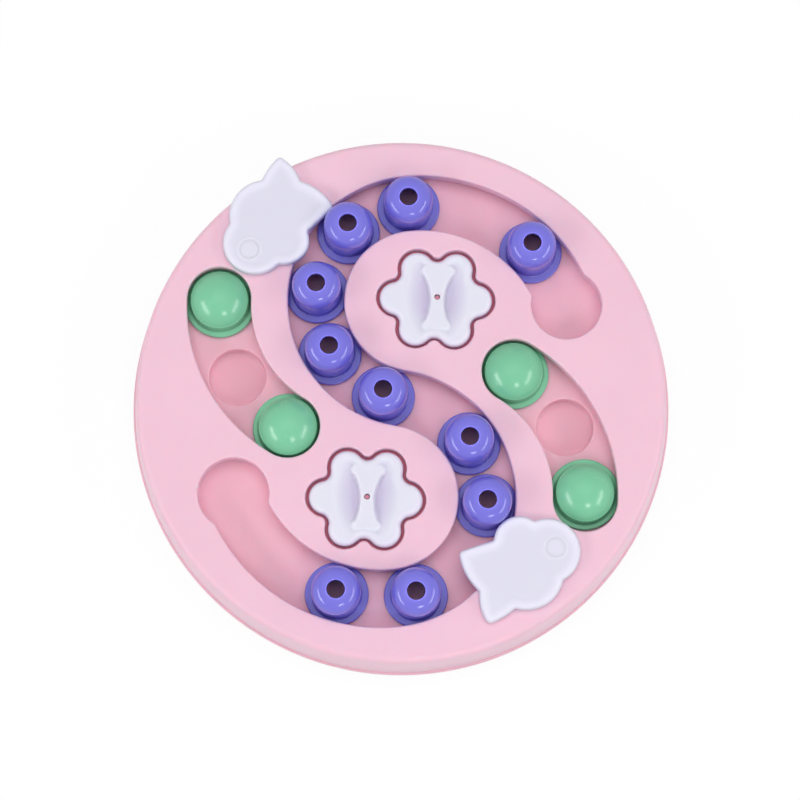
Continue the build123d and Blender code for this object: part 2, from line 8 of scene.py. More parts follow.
import bmesh
import bpy
import numpy as np
from bpy.props import FloatProperty, FloatVectorProperty, IntProperty, PointerProperty
from bpy.types import Operator, Panel, PropertyGroup
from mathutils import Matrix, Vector
from mathutils.geometry import tessellate_polygon


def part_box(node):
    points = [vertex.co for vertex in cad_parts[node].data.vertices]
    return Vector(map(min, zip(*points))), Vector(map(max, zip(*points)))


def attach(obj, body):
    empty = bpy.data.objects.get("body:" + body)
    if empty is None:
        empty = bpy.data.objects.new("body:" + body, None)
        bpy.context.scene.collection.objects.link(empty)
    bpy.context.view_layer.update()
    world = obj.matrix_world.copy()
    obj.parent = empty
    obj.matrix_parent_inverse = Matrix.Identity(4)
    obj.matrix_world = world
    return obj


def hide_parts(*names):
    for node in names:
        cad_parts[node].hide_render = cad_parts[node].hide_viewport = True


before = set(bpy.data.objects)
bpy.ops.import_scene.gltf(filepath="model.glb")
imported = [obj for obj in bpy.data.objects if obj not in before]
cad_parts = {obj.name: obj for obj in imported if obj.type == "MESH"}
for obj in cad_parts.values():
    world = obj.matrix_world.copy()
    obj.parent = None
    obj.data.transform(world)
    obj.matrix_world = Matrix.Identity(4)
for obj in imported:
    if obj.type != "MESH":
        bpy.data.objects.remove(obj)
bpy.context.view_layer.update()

bl_info = {
    "name": "Treat Puzzle Disc",
    "version": (1, 0, 0),
    "blender": (4, 5, 0),
    "location": "View3D > Sidebar > Treat Puzzle",
    "description": "Builds a round sliding treat puzzle and its studio stage",
    "category": "Add Mesh",
}

QUARTER = math.pi / 2
HALF_TURN = math.pi
FULL_TURN = 2 * math.pi
MM = 0.001


def linear(hex_colour):
    """Linear RGB of an sRGB hex value."""
    channels = [int(hex_colour[i:i + 2], 16) / 255 for i in (1, 3, 5)]
    return tuple(c / 12.92 if c <= 0.04045 else ((c + 0.055) / 1.055) ** 2.4 for c in channels)


def length(name, description, millimetres):
    """A length property whose default is written in millimetres."""
    return FloatProperty(
        name=name, description=description, default=millimetres * MM, unit="LENGTH", precision=5
    )


def bearing(name, description, degrees):
    """An angle property whose default is written in degrees."""
    return FloatProperty(name=name, description=description, default=math.radians(degrees), subtype="ANGLE")


def spot(name, description, x, y):
    """A place or shift on the disc whose default is written in millimetres."""
    return FloatVectorProperty(
        name=name, description=description, default=(x * MM, y * MM), size=2, subtype="XYZ_LENGTH"
    )


def colour(name, description, hex_colour):
    """A colour property whose default is written as sRGB hex."""
    return FloatVectorProperty(
        name=name, description=description, default=linear(hex_colour), subtype="COLOR", min=0.0, max=1.0
    )


class ShellSizes(PropertyGroup):
    """Upper and lower shell"""

    deck: length("Deck", "Height of the deck's top face", 28.0)
    deck_thickness: length("Deck thickness", "Thickness of the deck", 3.0)
    floor: length("Track floor", "Height of the track floor", 17.0)
    floor_thickness: length("Floor thickness", "Thickness of the track floor", 2.0)
    edge_round: length("Slot edge", "Rounding of the deck's opening edges", 1.0)
    top_radius: length("Top radius", "Radius where the deck would meet the skirt", 121.5)
    bottom_radius: length("Skirt radius", "Radius of the skirt's lower edge", 124.0)
    rim_round: length("Rim rounding", "Rounding between deck and skirt", 3.0)
    skirt_wall: length("Skirt wall", "Wall of the skirt", 2.2)
    skirt_bottom: length("Skirt bottom", "Height of the skirt's lower edge", 5.65)
    tray_radius: length("Tray radius", "Outside of the tray's wall", 118.5)
    tray_wall: length("Tray wall", "Walls of the tray and its cups", 2.0)
    base_radius: length("Base radius", "Radius of the bottom rim", 125.0)
    rim_top: length("Rim top", "Top of the bottom rim", 5.5)
    rim_bottom: length("Rim bottom", "Underside of the bottom rim", 1.5)
    base_round: length("Base rounding", "Rounding of the bottom rim", 1.2)
    collar: length("Collar wall", "Wall of the guides under the deck", 0.8)


class TrackSizes(PropertyGroup):
    """S slot, side slots and treat wells"""

    lobe_radius: length("Lobe radius", "Radius of the track through the middle", 46.4)
    lobe_bearing: bearing("Lobe bearing", "Direction of the lobe's centre", 81.2)
    outer_radius: length("Outer radius", "Radius of the track out to a keyhole", 71.1)
    outer_start: bearing("Outer start", "Where the outer arc takes over", 94.8)
    outer_end: bearing("Outer end", "Where the keyhole lies", 18.75)
    slot: length("Slot", "Width of the track's slot", 26.0)
    lip: length("Lip", "How far the slot's lip covers the channel", 2.5)
    lip_depth: length("Lip depth", "Depth of the lip under the deck's top", 7.0)
    keyhole: length("Keyhole", "Radius of a keyhole", 16.3)
    neck: length("Neck", "Rounding where a keyhole meets the slot", 2.5)
    side_radius: length("Side radius", "Radius of a side slot", 66.7)
    side_reach: length("Side reach", "How far a side slot's centre is from the middle", 47.6)
    side_bearing: bearing("Side bearing", "Direction of a side slot's centre", 111.5)
    side_start: bearing("Side start", "Where the first well of a side slot lies", 179.3)
    side_pitch: length("Side pitch", "From well to well in a side slot", 34.3)
    side_overrun: length("Side overrun", "How far a side slot runs on past its first well", 1.8)
    side_slot: length("Side slot", "Width of a side slot", 29.6)
    well_radius: length("Well radius", "Radius of a treat well", 13.2)
    well_depth: length("Well depth", "Depth of a treat well", 7.0)
    well_round: length("Well rounding", "Rounding of a well's bottom", 1.5)
    well_edge: length("Well edge", "Rounding of a well's upper edge", 0.8)


class SliderSizes(PropertyGroup):
    """Track sliders"""

    flange: length("Flange", "Radius of a slider's flange", 14.6)
    flange_thickness: length("Flange thickness", "Thickness of the flange", 2.6)
    flange_round: length("Flange rounding", "Rounding of the flange", 0.6)
    fillet: length("Fillet", "Rounding from the flange up to the body", 0.9)
    body: length("Body", "Radius of the slider's body", 11.2)
    height: length("Height", "Height of a slider", 23.3)
    wall: length("Wall", "Wall of a slider", 1.8)
    hole: length("Hole", "Radius of the hole in the top", 4.1)
    hole_land: length("Hole land", "Flat around the hole", 0.9)
    hole_round: length("Hole rounding", "Rounding of the hole's edge", 0.4)
    bead: length("Bead", "Height of the bead around the hole", 0.2)
    seat: length("Seat", "Height of the flange's underside", 17.1)
    segments: IntProperty(name="Segments", description="Steps around a turned piece", default=144, min=24)


class DomeSizes(PropertyGroup):
    """Domed sliders"""

    flange: length("Flange", "Radius of a dome's flange", 16.4)
    body: length("Body", "Radius of the dome's foot", 13.9)
    brow: length("Brow", "Radius where the side meets the cap", 13.35)
    side: length("Side", "Height where the ball-shaped cap starts", 8.6)
    cap: length("Cap", "Height of the ball-shaped cap", 7.2)
    edge_round: length("Edge", "Rounding between side and cap", 0.6)
    wall: length("Wall", "Wall of a dome", 1.8)


class LidSizes(PropertyGroup):
    """Flower lids and their cups"""

    place: spot("Place", "Middle of the first flower", 16.1, 46.6)
    turn: bearing("Turn", "Turn of the flowers", -2.1)
    petal: length("Petal", "Radius of a petal", 9.2)
    petal_overlap: length("Petal overlap", "Overlap of the petals at the valley", 0.2)
    side_overlap: length("Side overlap", "Overlap of the petals at the sides", 1.3)
    petal_bearing: bearing("Petal bearing", "Direction from a side petal to a corner petal", 56.7)
    valley: length("Valley", "Rounding between petals", 3.0)
    gap: length("Gap", "Gap around a lid", 1.5)
    ledge: length("Ledge", "Ledge that carries a lid", 2.0)
    sill_gap: length("Sill gap", "From the tray's sill to the opening and to the lid", 0.08)
    sill_top: length("Sill top", "Height of the tray's sill in the gap round a lid", 22.2)
    peg: length("Peg", "Radius of the tray's peg in a lid's scent hole", 1.05)
    peg_top: length("Peg top", "Height of that peg", 26.8)
    peg_round: length("Peg rounding", "Rounding of that peg's top", 0.3)
    cup_depth: length("Cup depth", "Depth of a flower cup under the track floor", 12.0)
    cup_round: length("Cup rounding", "Rounding of a cup's bottom", 2.0)
    top: length("Top", "Height of a lid's top", 27.8)
    bottom: length("Bottom", "Height of a lid's lower edge", 17.1)
    edge_round: length("Edge", "Rounding of a lid's upper edge", 2.6)
    dish_depth: length("Dish depth", "Depth of the finger dish", 3.6)
    dish_width: length("Dish width", "Half width of the finger dish", 14.8)
    dish_length: length("Dish length", "Half length of the finger dish", 24.0)
    dish_fade: length("Dish fade", "Width over which the finger dish fades at a lid's edge", 3.0)
    dish_shift: length("Dish shift", "How far the finger dish lies towards the bone's larger end", 2.0)
    bone_length: length("Bone length", "Length of the bone grip", 30.6)
    bone_waist: length("Bone waist", "Width of the bone's waist", 6.8)
    top_knob: length("Upper knob", "Radius of the bone's upper knobs", 2.9)
    top_spread: length("Upper spread", "Spread of the bone's upper knobs", 9.8)
    bottom_knob: length("Lower knob", "Radius of the bone's lower knobs", 2.5)
    bottom_spread: length("Lower spread", "Spread of the bone's lower knobs", 7.7)
    neck_bearing: bearing("Neck bearing", "Where a knob turns into the waist", 60.0)
    bone_shift: spot("Bone shift", "From the middle of a lid to the middle of its bone grip", 0.6, 0.9)
    shell: length("Shell", "Wall of a lid", 1.7)
    scent_hole: length("Scent hole", "Radius of the scent hole", 1.35)
    scent_ring: length("Scent ring", "Radius of the ring around the scent hole", 2.5)
    scent_ring_height: length("Scent ring height", "Height of that ring", 0.2)


class FishSizes(PropertyGroup):
    """Fish covers, their pivots and the wells under them"""

    pivot: spot("Pivot", "Pivot of the first fish", -70.1, 69.4)
    first_bearing: bearing("First bearing", "Direction of the first fish", 51.3)
    second_bearing: bearing("Second bearing", "Direction of the second fish", 206.9)
    reach: length("Reach", "From the eye to the tail's end", 43.0)
    half_width: length("Half width", "Half width across the fins", 20.6)
    tip_round: length("Tip rounding", "Rounding of the tail tips", 2.4)
    corner_round: length("Corner rounding", "Rounding of the valleys", 1.8)
    underside: length("Underside", "Height of a fish's underside", 28.25)
    thickness: length("Thickness", "Thickness of a fish", 4.2)
    edge_round: length("Edge", "Rounding of a fish's upper edge", 1.8)
    border: length("Border", "Width of the raised border", 3.8)
    field: length("Field", "Depth of the field inside the border", 0.55)
    eye: length("Eye", "Radius of the eye recess", 4.2)
    eye_seat: length("Eye seat", "Height of the eye recess's floor", 30.75)
    bore: length("Bore", "Radius of the pivot bore", 2.3)
    pin: length("Pin", "Radius of the pivot pin", 2.25)
    pin_head: length("Pin head", "Radius of the pivot pin's head", 4.19)
    pin_head_top: length("Pin head top", "Height of the pin head's top", 32.1)
    crown: length("Crown", "Rise of the pin head's crown", 0.12)
    groove: length("Groove", "Half width of the groove round the pin head", 1.0)
    groove_depth: length("Groove depth", "Depth of that groove", 0.25)
    pin_bottom: length("Pin bottom", "Height of the pin's lower end", 19.8)
    boss: length("Boss", "Radius of the pivot boss under the deck", 4.5)
    boss_bottom: length("Boss bottom", "Height of the boss's lower end", 22.0)
    well: length("Well", "Radius of the treat well under a fish", 11.5)
    well_depth: length("Well depth", "Depth of that well under the track floor", 8.0)
    well_setback: length("Well setback", "From the pivot to that well", 17.5)


class FastenerSizes(PropertyGroup):
    """Feet and screws"""

    foot: length("Foot", "Radius of a foot", 6.5)
    foot_seat: length("Foot seat", "Radius of a foot's recess", 6.7)
    foot_post: length("Foot post", "Radius of a foot's post", 8.5)
    foot_top: length("Foot top", "Height of a foot's top", 2.7)
    foot_circle: length("Foot circle", "Radius of the circle of feet", 104.0)
    screw: length("Screw", "Radius of a screw", 1.5)
    screw_length: length("Screw length", "Length of a screw under its head", 11.0)
    screw_head: length("Screw head", "Radius of a screw's head", 2.8)
    screw_head_height: length("Screw head height", "Height of a screw's head", 2.0)
    screw_pad: length("Screw pad", "Radius of a screw pad", 4.3)
    screw_pad_bottom: length("Screw pad bottom", "Height of a screw pad's underside", 12.0)


class PuzzleColours(PropertyGroup):
    """Colours of the plastics, the metal and the floor"""

    cover: colour("Cover", "Pale pink of the upper shell", "#F0C7D8")
    tray: colour("Tray", "Deeper pink of the lower shell", "#EEBACA")
    slider: colour("Slider", "Periwinkle of the track sliders", "#726CE0")
    dome: colour("Dome", "Mint of the domes", "#77C89E")
    lid: colour("Lid", "Cool white of the lids and fish", "#E8E6F5")
    steel: colour("Steel", "Zinc-plated steel of the screws", "#B9B8B6")
    rubber: colour("Rubber", "Soft rubber of the feet", "#D9B4C4")
    floor: colour("Floor", "Paper floor of the stage", "#FFFFFF")


FOOT_BEARINGS = tuple(math.radians(b) for b in (20.0, 75.0, 112.0, 200.0, 255.0, 292.0))
SLIDER_COUNT = 10
DOME_COUNT = 4
SCREW_PLACES = tuple(np.array(p) * MM for p in ((106.0, 12.0), (52.5, 46.0), (62.0, -38.0)))

# How finely curves and faces are cut.
# The support is the width of a level strip beside a rounded edge, so that the edge shades evenly.
ARC_STEP = 1.0 * MM
ARC_TURN = math.radians(5.0)
ROUND_STEPS = 8
RIM_SEGMENTS = 480
PIN_SEGMENTS = 72
FASTENER_SEGMENTS = 48
LID_RINGS = 96
LINING_RINGS = 40
FISH_RINGS = 90
FISH_RING_POWER = 0.9
SUPPORT = 0.35 * MM
# Points nearer than a weld become one point, and edges shorter than a sliver go.
WELD = 1e-7
TREE_WELD = 1e-6
SLIVER = 1e-8
# Stands for zero in a division.
TINY = 1e-18

# Small edges of the moulded pieces, and how softly one form runs into the next.
LIP_NICK = 0.3 * MM
KEYHOLE_LIP = 0.5 * MM
LIP_FADE = 6 * MM
SKIRT_EDGE = 0.35 * MM
TRAY_EDGE = 0.5 * MM
LID_FOOT = 0.4 * MM
DISH_POWER = 1.2
GRIP_LEAD = 1.1 * MM
GRIP_SLOPE = 2.0 * MM
SCENT_RING_SLOPE = 0.5 * MM
FISH_FOOT = 0.25 * MM
FIELD_LEAD = 2.1 * MM
FIELD_SLOPE = 4.0 * MM
EYE_RISE_SHARE = 0.6
EYE_RISE_WIDTH = 2.2 * MM
GROOVE_SHARES = (0.2, 0.4, 0.6, 0.8, 1.0)
CROWN_SHARES = (0.0, 0.35, 0.7, 1.0)
PIN_SEAT_GAP = 0.05 * MM
FOOT_EDGE = 0.6 * MM
FOOT_GROOVE_DEPTH = 0.35 * MM
FOOT_GROOVE_SHARES = ((0.72, 0.0), (0.68, 1.0), (0.62, 1.0), (0.58, 0.0))
SCREW_HEAD_ROUND = 1.1 * MM
DRIVE_MOUTH = 1.25 * MM
DRIVE_END = 1.05 * MM
DRIVE_DEPTH = 0.9 * MM
DRIVE_TIP_DEPTH = 1.3 * MM


def unit(angle):
    """Unit vector, or a row of them, at an angle from +X."""
    return np.stack((np.cos(angle), np.sin(angle)), axis=-1)


def spun(angle):
    """Matrix that turns a place about the middle by an angle."""
    return np.array([[math.cos(angle), -math.sin(angle)], [math.sin(angle), math.cos(angle)]])


def angle_of(vector):
    """Angle of a vector from +X."""
    return math.atan2(vector[1], vector[0])


def arc(centre, radius, start, end, side, closed=False):
    """Points along an arc without its end, and their directions into the plate, outwards where side is 1."""
    sweep = abs(end - start)
    steps = max(3, math.ceil(sweep * radius / ARC_STEP), math.ceil(sweep / ARC_TURN))
    spokes = unit(np.linspace(start, end, steps, endpoint=closed))
    return np.asarray(centre) + radius * spokes, side * spokes


def chain(*arcs):
    """One loop from arcs in their order."""
    return np.concatenate([a[0] for a in arcs]), np.concatenate([a[1] for a in arcs])


def half_turned(loop):
    """The same loop on the other half of the disc."""
    return -loop[0], -loop[1]


def round_loop(place, radius):
    """A round opening."""
    return arc(place, radius, 0.0, FULL_TURN, 1)


def meeting(first, first_radius, second, second_radius, near):
    """The meeting point of two circles that is nearer to a third point."""
    first, second = np.asarray(first), np.asarray(second)
    between = second - first
    gap = math.hypot(*between)
    along = (first_radius**2 - second_radius**2 + gap**2) / (2 * gap)
    across = math.sqrt(max(first_radius**2 - along**2, 0.0))
    axis = between / gap
    normal = np.array((-axis[1], axis[0]))
    ends = [first + along * axis + s * across * normal for s in (1, -1)]
    return min(ends, key=lambda p: math.hypot(*(p - near)))


def onward(start, end, direction):
    """End angle moved by whole turns so that it follows start in the given direction."""
    while direction * (end - start) < 0:
        end += direction * FULL_TURN
    while direction * (end - start) >= FULL_TURN:
        end -= direction * FULL_TURN
    return end


def track_centres(t):
    """Centres of the lobe, of the outer arc and of the keyhole on the +X side."""
    lobe = t.lobe_radius * unit(t.lobe_bearing)
    outer = lobe + (t.lobe_radius - t.outer_radius) * unit(t.outer_start)
    keyhole = outer + t.outer_radius * unit(t.outer_end)
    return lobe, outer, keyhole


def track_loop(t):
    """Edge of the S slot with its two keyholes."""
    lobe, outer, keyhole = track_centres(t)
    half = t.slot / 2
    start = t.lobe_bearing + HALF_TURN
    beside = outer + t.outer_radius * unit(t.outer_end + t.keyhole / t.outer_radius)
    outer_edge, inner_edge = t.outer_radius + half, t.outer_radius - half
    far_neck = meeting(outer, outer_edge + t.neck, keyhole, t.keyhole + t.neck, beside)
    near_neck = meeting(outer, inner_edge - t.neck, keyhole, t.keyhole + t.neck, beside)
    far_angle, near_angle = angle_of(far_neck - outer), angle_of(near_neck - outer)
    to_far, to_near = angle_of(far_neck - keyhole), angle_of(near_neck - keyhole)
    far_start, near_start = far_angle + HALF_TURN, to_near + HALF_TURN
    side = chain(
        arc(lobe, t.lobe_radius + half, start, t.outer_start, 1),
        arc(outer, outer_edge, t.outer_start, far_angle, 1),
        arc(far_neck, t.neck, far_start, onward(far_start, to_far + HALF_TURN, 1), -1),
        arc(keyhole, t.keyhole, to_far, onward(to_far, to_near, -1), 1),
        arc(near_neck, t.neck, near_start, onward(near_start, near_angle, 1), -1),
        arc(outer, inner_edge, near_angle, t.outer_start, -1),
        arc(lobe, t.lobe_radius - half, t.outer_start, start, -1),
    )
    return chain(side, half_turned(side))


def side_centre(t):
    """Centre of the first side slot's arc, and the angle from well to well."""
    return t.side_reach * unit(t.side_bearing), 2 * math.asin(t.side_pitch / (2 * t.side_radius))


def side_wells(t):
    """Middles of the treat wells: three of the first side slot, then three of the second."""
    centre, pitch = side_centre(t)
    first = [centre + t.side_radius * unit(t.side_start + k * pitch) for k in range(3)]
    return first + [-p for p in first]


def side_loop(t):
    """Edge of the first side slot."""
    centre, pitch = side_centre(t)
    half = t.side_slot / 2
    start, end = t.side_start - t.side_overrun / t.side_radius, t.side_start + 2 * pitch
    first, last = centre + t.side_radius * unit(start), centre + t.side_radius * unit(end)
    return chain(
        arc(centre, t.side_radius + half, start, end, 1),
        arc(last, half, end, end + HALF_TURN, 1),
        arc(centre, t.side_radius - half, end, start, -1),
        arc(first, half, start + HALF_TURN, start + FULL_TURN, 1),
    )


def flower_loop(s, place, inset):
    """Edge of a six-petal flower, drawn in by an inset."""
    spacing = 2 * s.petal - s.side_overlap
    corner = np.array((s.petal - s.petal_overlap, spacing * math.sin(s.petal_bearing)))
    side_x = corner[0] + spacing * math.cos(s.petal_bearing)
    petals = np.array([(side_x, 0), corner, corner * (-1, 1), (-side_x, 0), -corner, corner * (1, -1)])
    following = np.roll(petals, -1, axis=0)
    reach = s.petal + s.valley
    valleys = [meeting(a, reach, b, reach, (a + b) * 2) for a, b in zip(petals, following)]
    arcs = []
    for k, (petal, valley, ahead) in enumerate(zip(petals, valleys, following)):
        begin = angle_of(valleys[k - 1] - petal)
        arcs.append(arc(petal, s.petal - inset, begin, onward(begin, angle_of(valley - petal), 1), 1))
        begin = angle_of(petal - valley)
        arcs.append(arc(valley, s.valley + inset, begin, onward(begin, angle_of(ahead - valley), -1), -1))
    points, normals = chain(*arcs)
    turn = spun(s.turn).T
    return points @ turn + np.asarray(place), normals @ turn


def circle_through(a, b, c):
    """Centre and radius of the circle through three points."""
    rows = np.array([2 * (b - a), 2 * (c - a)])
    centre = np.linalg.solve(rows, np.array([b @ b - a @ a, c @ c - a @ a]))
    return centre, math.hypot(*(a - centre))


def bone_loop(s):
    """Outline of the bone grip along Y, larger knobs at +Y."""
    top_knob = np.array((s.top_spread / 2, s.bone_length / 2 - s.top_knob))
    bottom_knob = np.array((s.bottom_spread / 2, s.bottom_knob - s.bone_length / 2))
    top_neck = top_knob + s.top_knob * unit(-s.neck_bearing)
    bottom_neck = bottom_knob + s.bottom_knob * unit(s.neck_bearing)
    centre, radius = circle_through(top_neck, np.array((s.bone_waist / 2, 0.0)), bottom_neck)
    from_top, to_bottom = angle_of(top_neck - centre), angle_of(bottom_neck - centre)
    right = chain(
        arc(bottom_knob, s.bottom_knob, -QUARTER, s.neck_bearing, 1),
        arc(centre, radius, onward(from_top, to_bottom, 1), from_top, -1),
        arc(top_knob, s.top_knob, -s.neck_bearing, QUARTER, 1, closed=True),
    )
    return np.concatenate((right[0], right[0][::-1] * (-1, 1)))


# Points of the fish as shares of its reach and half width.
# Each side has its gill, fin, tail root, flank, tip and bulge.
NOSE_SHARES = (-0.252, 0.076)
NOTCH_SHARES = (0.93, 0.098)
LEFT_SHARES = ((0.089, 0.718), (0.433, 1.025), (0.676, 0.792), (0.837, 0.852), (1.001, 0.835), (1.0, 0.48))
RIGHT_SHARES = (
    (0.072, -0.726), (0.439, -0.971), (0.546, -0.749), (0.739, -0.816), (0.931, -0.87), (0.975, -0.349),
)


def fish_loop(f):
    """Outline of a fish with its eye at the origin and its tail along +X."""
    size = np.array((f.reach, f.half_width))
    nose, notch = np.array(NOSE_SHARES) * size, np.array(NOTCH_SHARES) * size
    left, right = np.array(LEFT_SHARES) * size, np.array(RIGHT_SHARES) * size
    corners = [right[0], right[2], right[4], notch, left[4], left[2], left[0]]
    middles = [right[1], right[3], right[5], left[5], left[3], left[1], nose]
    valley, tip = f.corner_round, f.tip_round
    return rounded_outline(corners, middles, [valley, valley, tip, valley, tip, valley, valley])


def cross(a, b):
    """Which way b turns from a: above 0 is to the left."""
    return a[0] * b[1] - a[1] * b[0]


def rounded_outline(corners, middles, rounds):
    """Loop, to the left, of arcs from corner to corner through the middles, with each corner rounded."""
    count = len(corners)
    arcs = []
    for k, (start, middle) in enumerate(zip(corners, middles)):
        end = corners[(k + 1) % count]
        turn = math.copysign(1, cross(middle - start, end - middle))
        arcs.append((*circle_through(start, middle, end), turn))
    turns = []
    for k, (point, r) in enumerate(zip(corners, rounds)):
        (a, a_radius, a_turn), (b, b_radius, b_turn) = arcs[k - 1], arcs[k]
        bend = math.copysign(1, a_turn * b_turn * cross(point - a, point - b))
        middle = meeting(a, a_radius - a_turn * bend * r, b, b_radius - b_turn * bend * r, point)
        turns.append((middle, r, bend))
    parts = []
    for k, (centre, radius, turn) in enumerate(arcs):
        before, (after, r, bend) = turns[k][0], turns[(k + 1) % count]
        ahead, ahead_radius, _ = arcs[(k + 1) % count]
        begin, end = angle_of(before - centre), angle_of(after - centre)
        parts.append(arc(centre, radius, begin, onward(begin, end, turn), turn))
        begin = angle_of(centre + radius * unit(end) - after)
        end = angle_of(ahead + ahead_radius * unit(angle_of(after - ahead)) - after)
        parts.append(arc(after, r, begin, onward(begin, end, bend), bend))
    return chain(*parts)


def opening_edge(radius, height):
    """Rows, as (offset, height), from a level top over a rounded edge into an opening."""
    steps = np.linspace(0, QUARTER, ROUND_STEPS + 1)
    rows = [(radius * (1 - math.sin(a)), height - radius * (1 - math.cos(a))) for a in steps]
    return [(radius + SUPPORT, height), *rows]


def quarter_round(radius, height, drop=1):
    """Rows, as (offset, height), from level to upright; drop is 1 for a top edge, -1 for a cup's bottom."""
    steps = np.linspace(0, QUARTER, ROUND_STEPS + 1)
    return [(radius * math.sin(a), height - drop * radius * (1 - math.cos(a))) for a in steps]


def level_ring(mesh, points, height):
    """Vertices at points, all at one height."""
    return [mesh.verts.new((x, y, height)) for x, y in points]


def ring(mesh, loop, offset, height):
    """Vertices of a loop moved into the plate by an offset, at a height."""
    points = loop[0] + loop[1] * (offset[:, None] if isinstance(offset, np.ndarray) else offset)
    return level_ring(mesh, points, height)


def band(mesh, first, second):
    """Faces between two rings of the same count."""
    count = len(first)
    for k in range(count):
        mesh.faces.new((first[k], first[(k + 1) % count], second[(k + 1) % count], second[k]))


def wall(mesh, loop, rows):
    """Bands down a list of (offset, height) rows along a loop; gives the first and the last ring."""
    rings = [ring(mesh, loop, offset, height) for offset, height in rows]
    for upper, lower in zip(rings, rings[1:]):
        band(mesh, upper, lower)
    return rings[0], rings[-1]


def fill(mesh, *rings):
    """A level face inside the first ring and outside the others."""
    flat = [v for r in rings for v in r]
    for triangle in tessellate_polygon([[v.co for v in r] for r in rings]):
        corners = [flat[k] for k in triangle]
        if len(set(corners)) == 3:
            mesh.faces.new(corners)


def turned_loop(count):
    """Spokes of a full turn, for a wall given in radii."""
    spokes = unit(np.linspace(0, FULL_TURN, count, endpoint=False))
    return np.zeros_like(spokes), spokes


def finished(mesh, name, material, body, nodes):
    """Plain smooth object from a bmesh that rides on a body and stands for CAD nodes."""
    bmesh.ops.remove_doubles(mesh, verts=mesh.verts, dist=WELD)
    bmesh.ops.recalc_face_normals(mesh, faces=mesh.faces)
    data = bpy.data.meshes.new(name)
    mesh.to_mesh(data)
    mesh.free()
    return placed(data, name, material, body, nodes)


def placed(data, name, material, body, nodes, sharp=40.0):
    """Object from a plain mesh, smooth but for edges sharper than so many degrees, riding on its body."""
    data.name = name
    data.materials.clear()
    data.materials.append(material)
    data.shade_smooth()
    data.set_sharp_from_angle(angle=math.radians(sharp))
    piece = bpy.data.objects.new(name, data)
    bpy.context.scene.collection.objects.link(piece)
    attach(piece, body)
    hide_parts(*nodes)
    return piece


def add(tree, kind, links=None, sets=None, **settings):
    """Adds a node with its settings, its fixed inputs and the links into its inputs."""
    node = tree.nodes.new(kind)
    for key, value in settings.items():
        setattr(node, key, value)
    for key, value in (sets or {}).items():
        node.inputs[key].default_value = value
    for key, source in (links or {}).items():
        tree.links.new(source, node.inputs[key])
    return node


def bare_material(name):
    """A new material and its empty node tree."""
    material = bpy.data.materials.new(name)
    material.use_nodes = True
    material.node_tree.nodes.clear()
    return material, material.node_tree


# Size of the plastics' flow marks and rubbed patches, the share by which rubbing changes the roughness,
# and the depth of the mould's grain.
FLOW_SIZE = 38 * MM
RUB_SIZE = 7 * MM
RUB_SHARE = 0.12
GRAIN_DEPTH = 0.05 * MM
COAT_ROUGHNESS = 0.12
PLASTIC_IOR = 1.5
# Most of a noise texture's values lie between these.
NOISE_LOW, NOISE_HIGH = 0.3, 0.7
# Sockets of a Mix node for colours, which share their names with those for numbers.
MIX_FACTOR, MIX_FIRST, MIX_SECOND, MIX_RESULT = 0, 6, 7, 2


def painted_light_by_height(tree, place, tone, levels, peak):
    """A tone times the share of it that the levels give at each height: painted shade where the share is
    below 1, painted highlight where it is above.
    """
    low, high = levels[0][0], levels[-1][0]
    height = add(tree, "ShaderNodeSeparateXYZ", {"Vector": place}).outputs["Z"]
    along = add(
        tree, "ShaderNodeMapRange", {"Value": height}, {"From Min": low * MM, "From Max": high * MM}
    )
    shade = add(tree, "ShaderNodeValToRGB", {"Fac": along.outputs["Result"]})
    stops = shade.color_ramp.elements
    while len(stops) < len(levels):
        stops.new(0.5)
    for stop, (level, share) in zip(stops, levels):
        stop.position = (level - low) / (high - low)
        stop.color = (*(np.ones(3) * share / peak), 1.0)
    mix = add(
        tree, "ShaderNodeMix", {MIX_FIRST: tone, MIX_SECOND: shade.outputs["Color"]}, {MIX_FACTOR: 1.0},
        data_type="RGBA", blend_type="MULTIPLY",
    )
    return mix.outputs[MIX_RESULT]


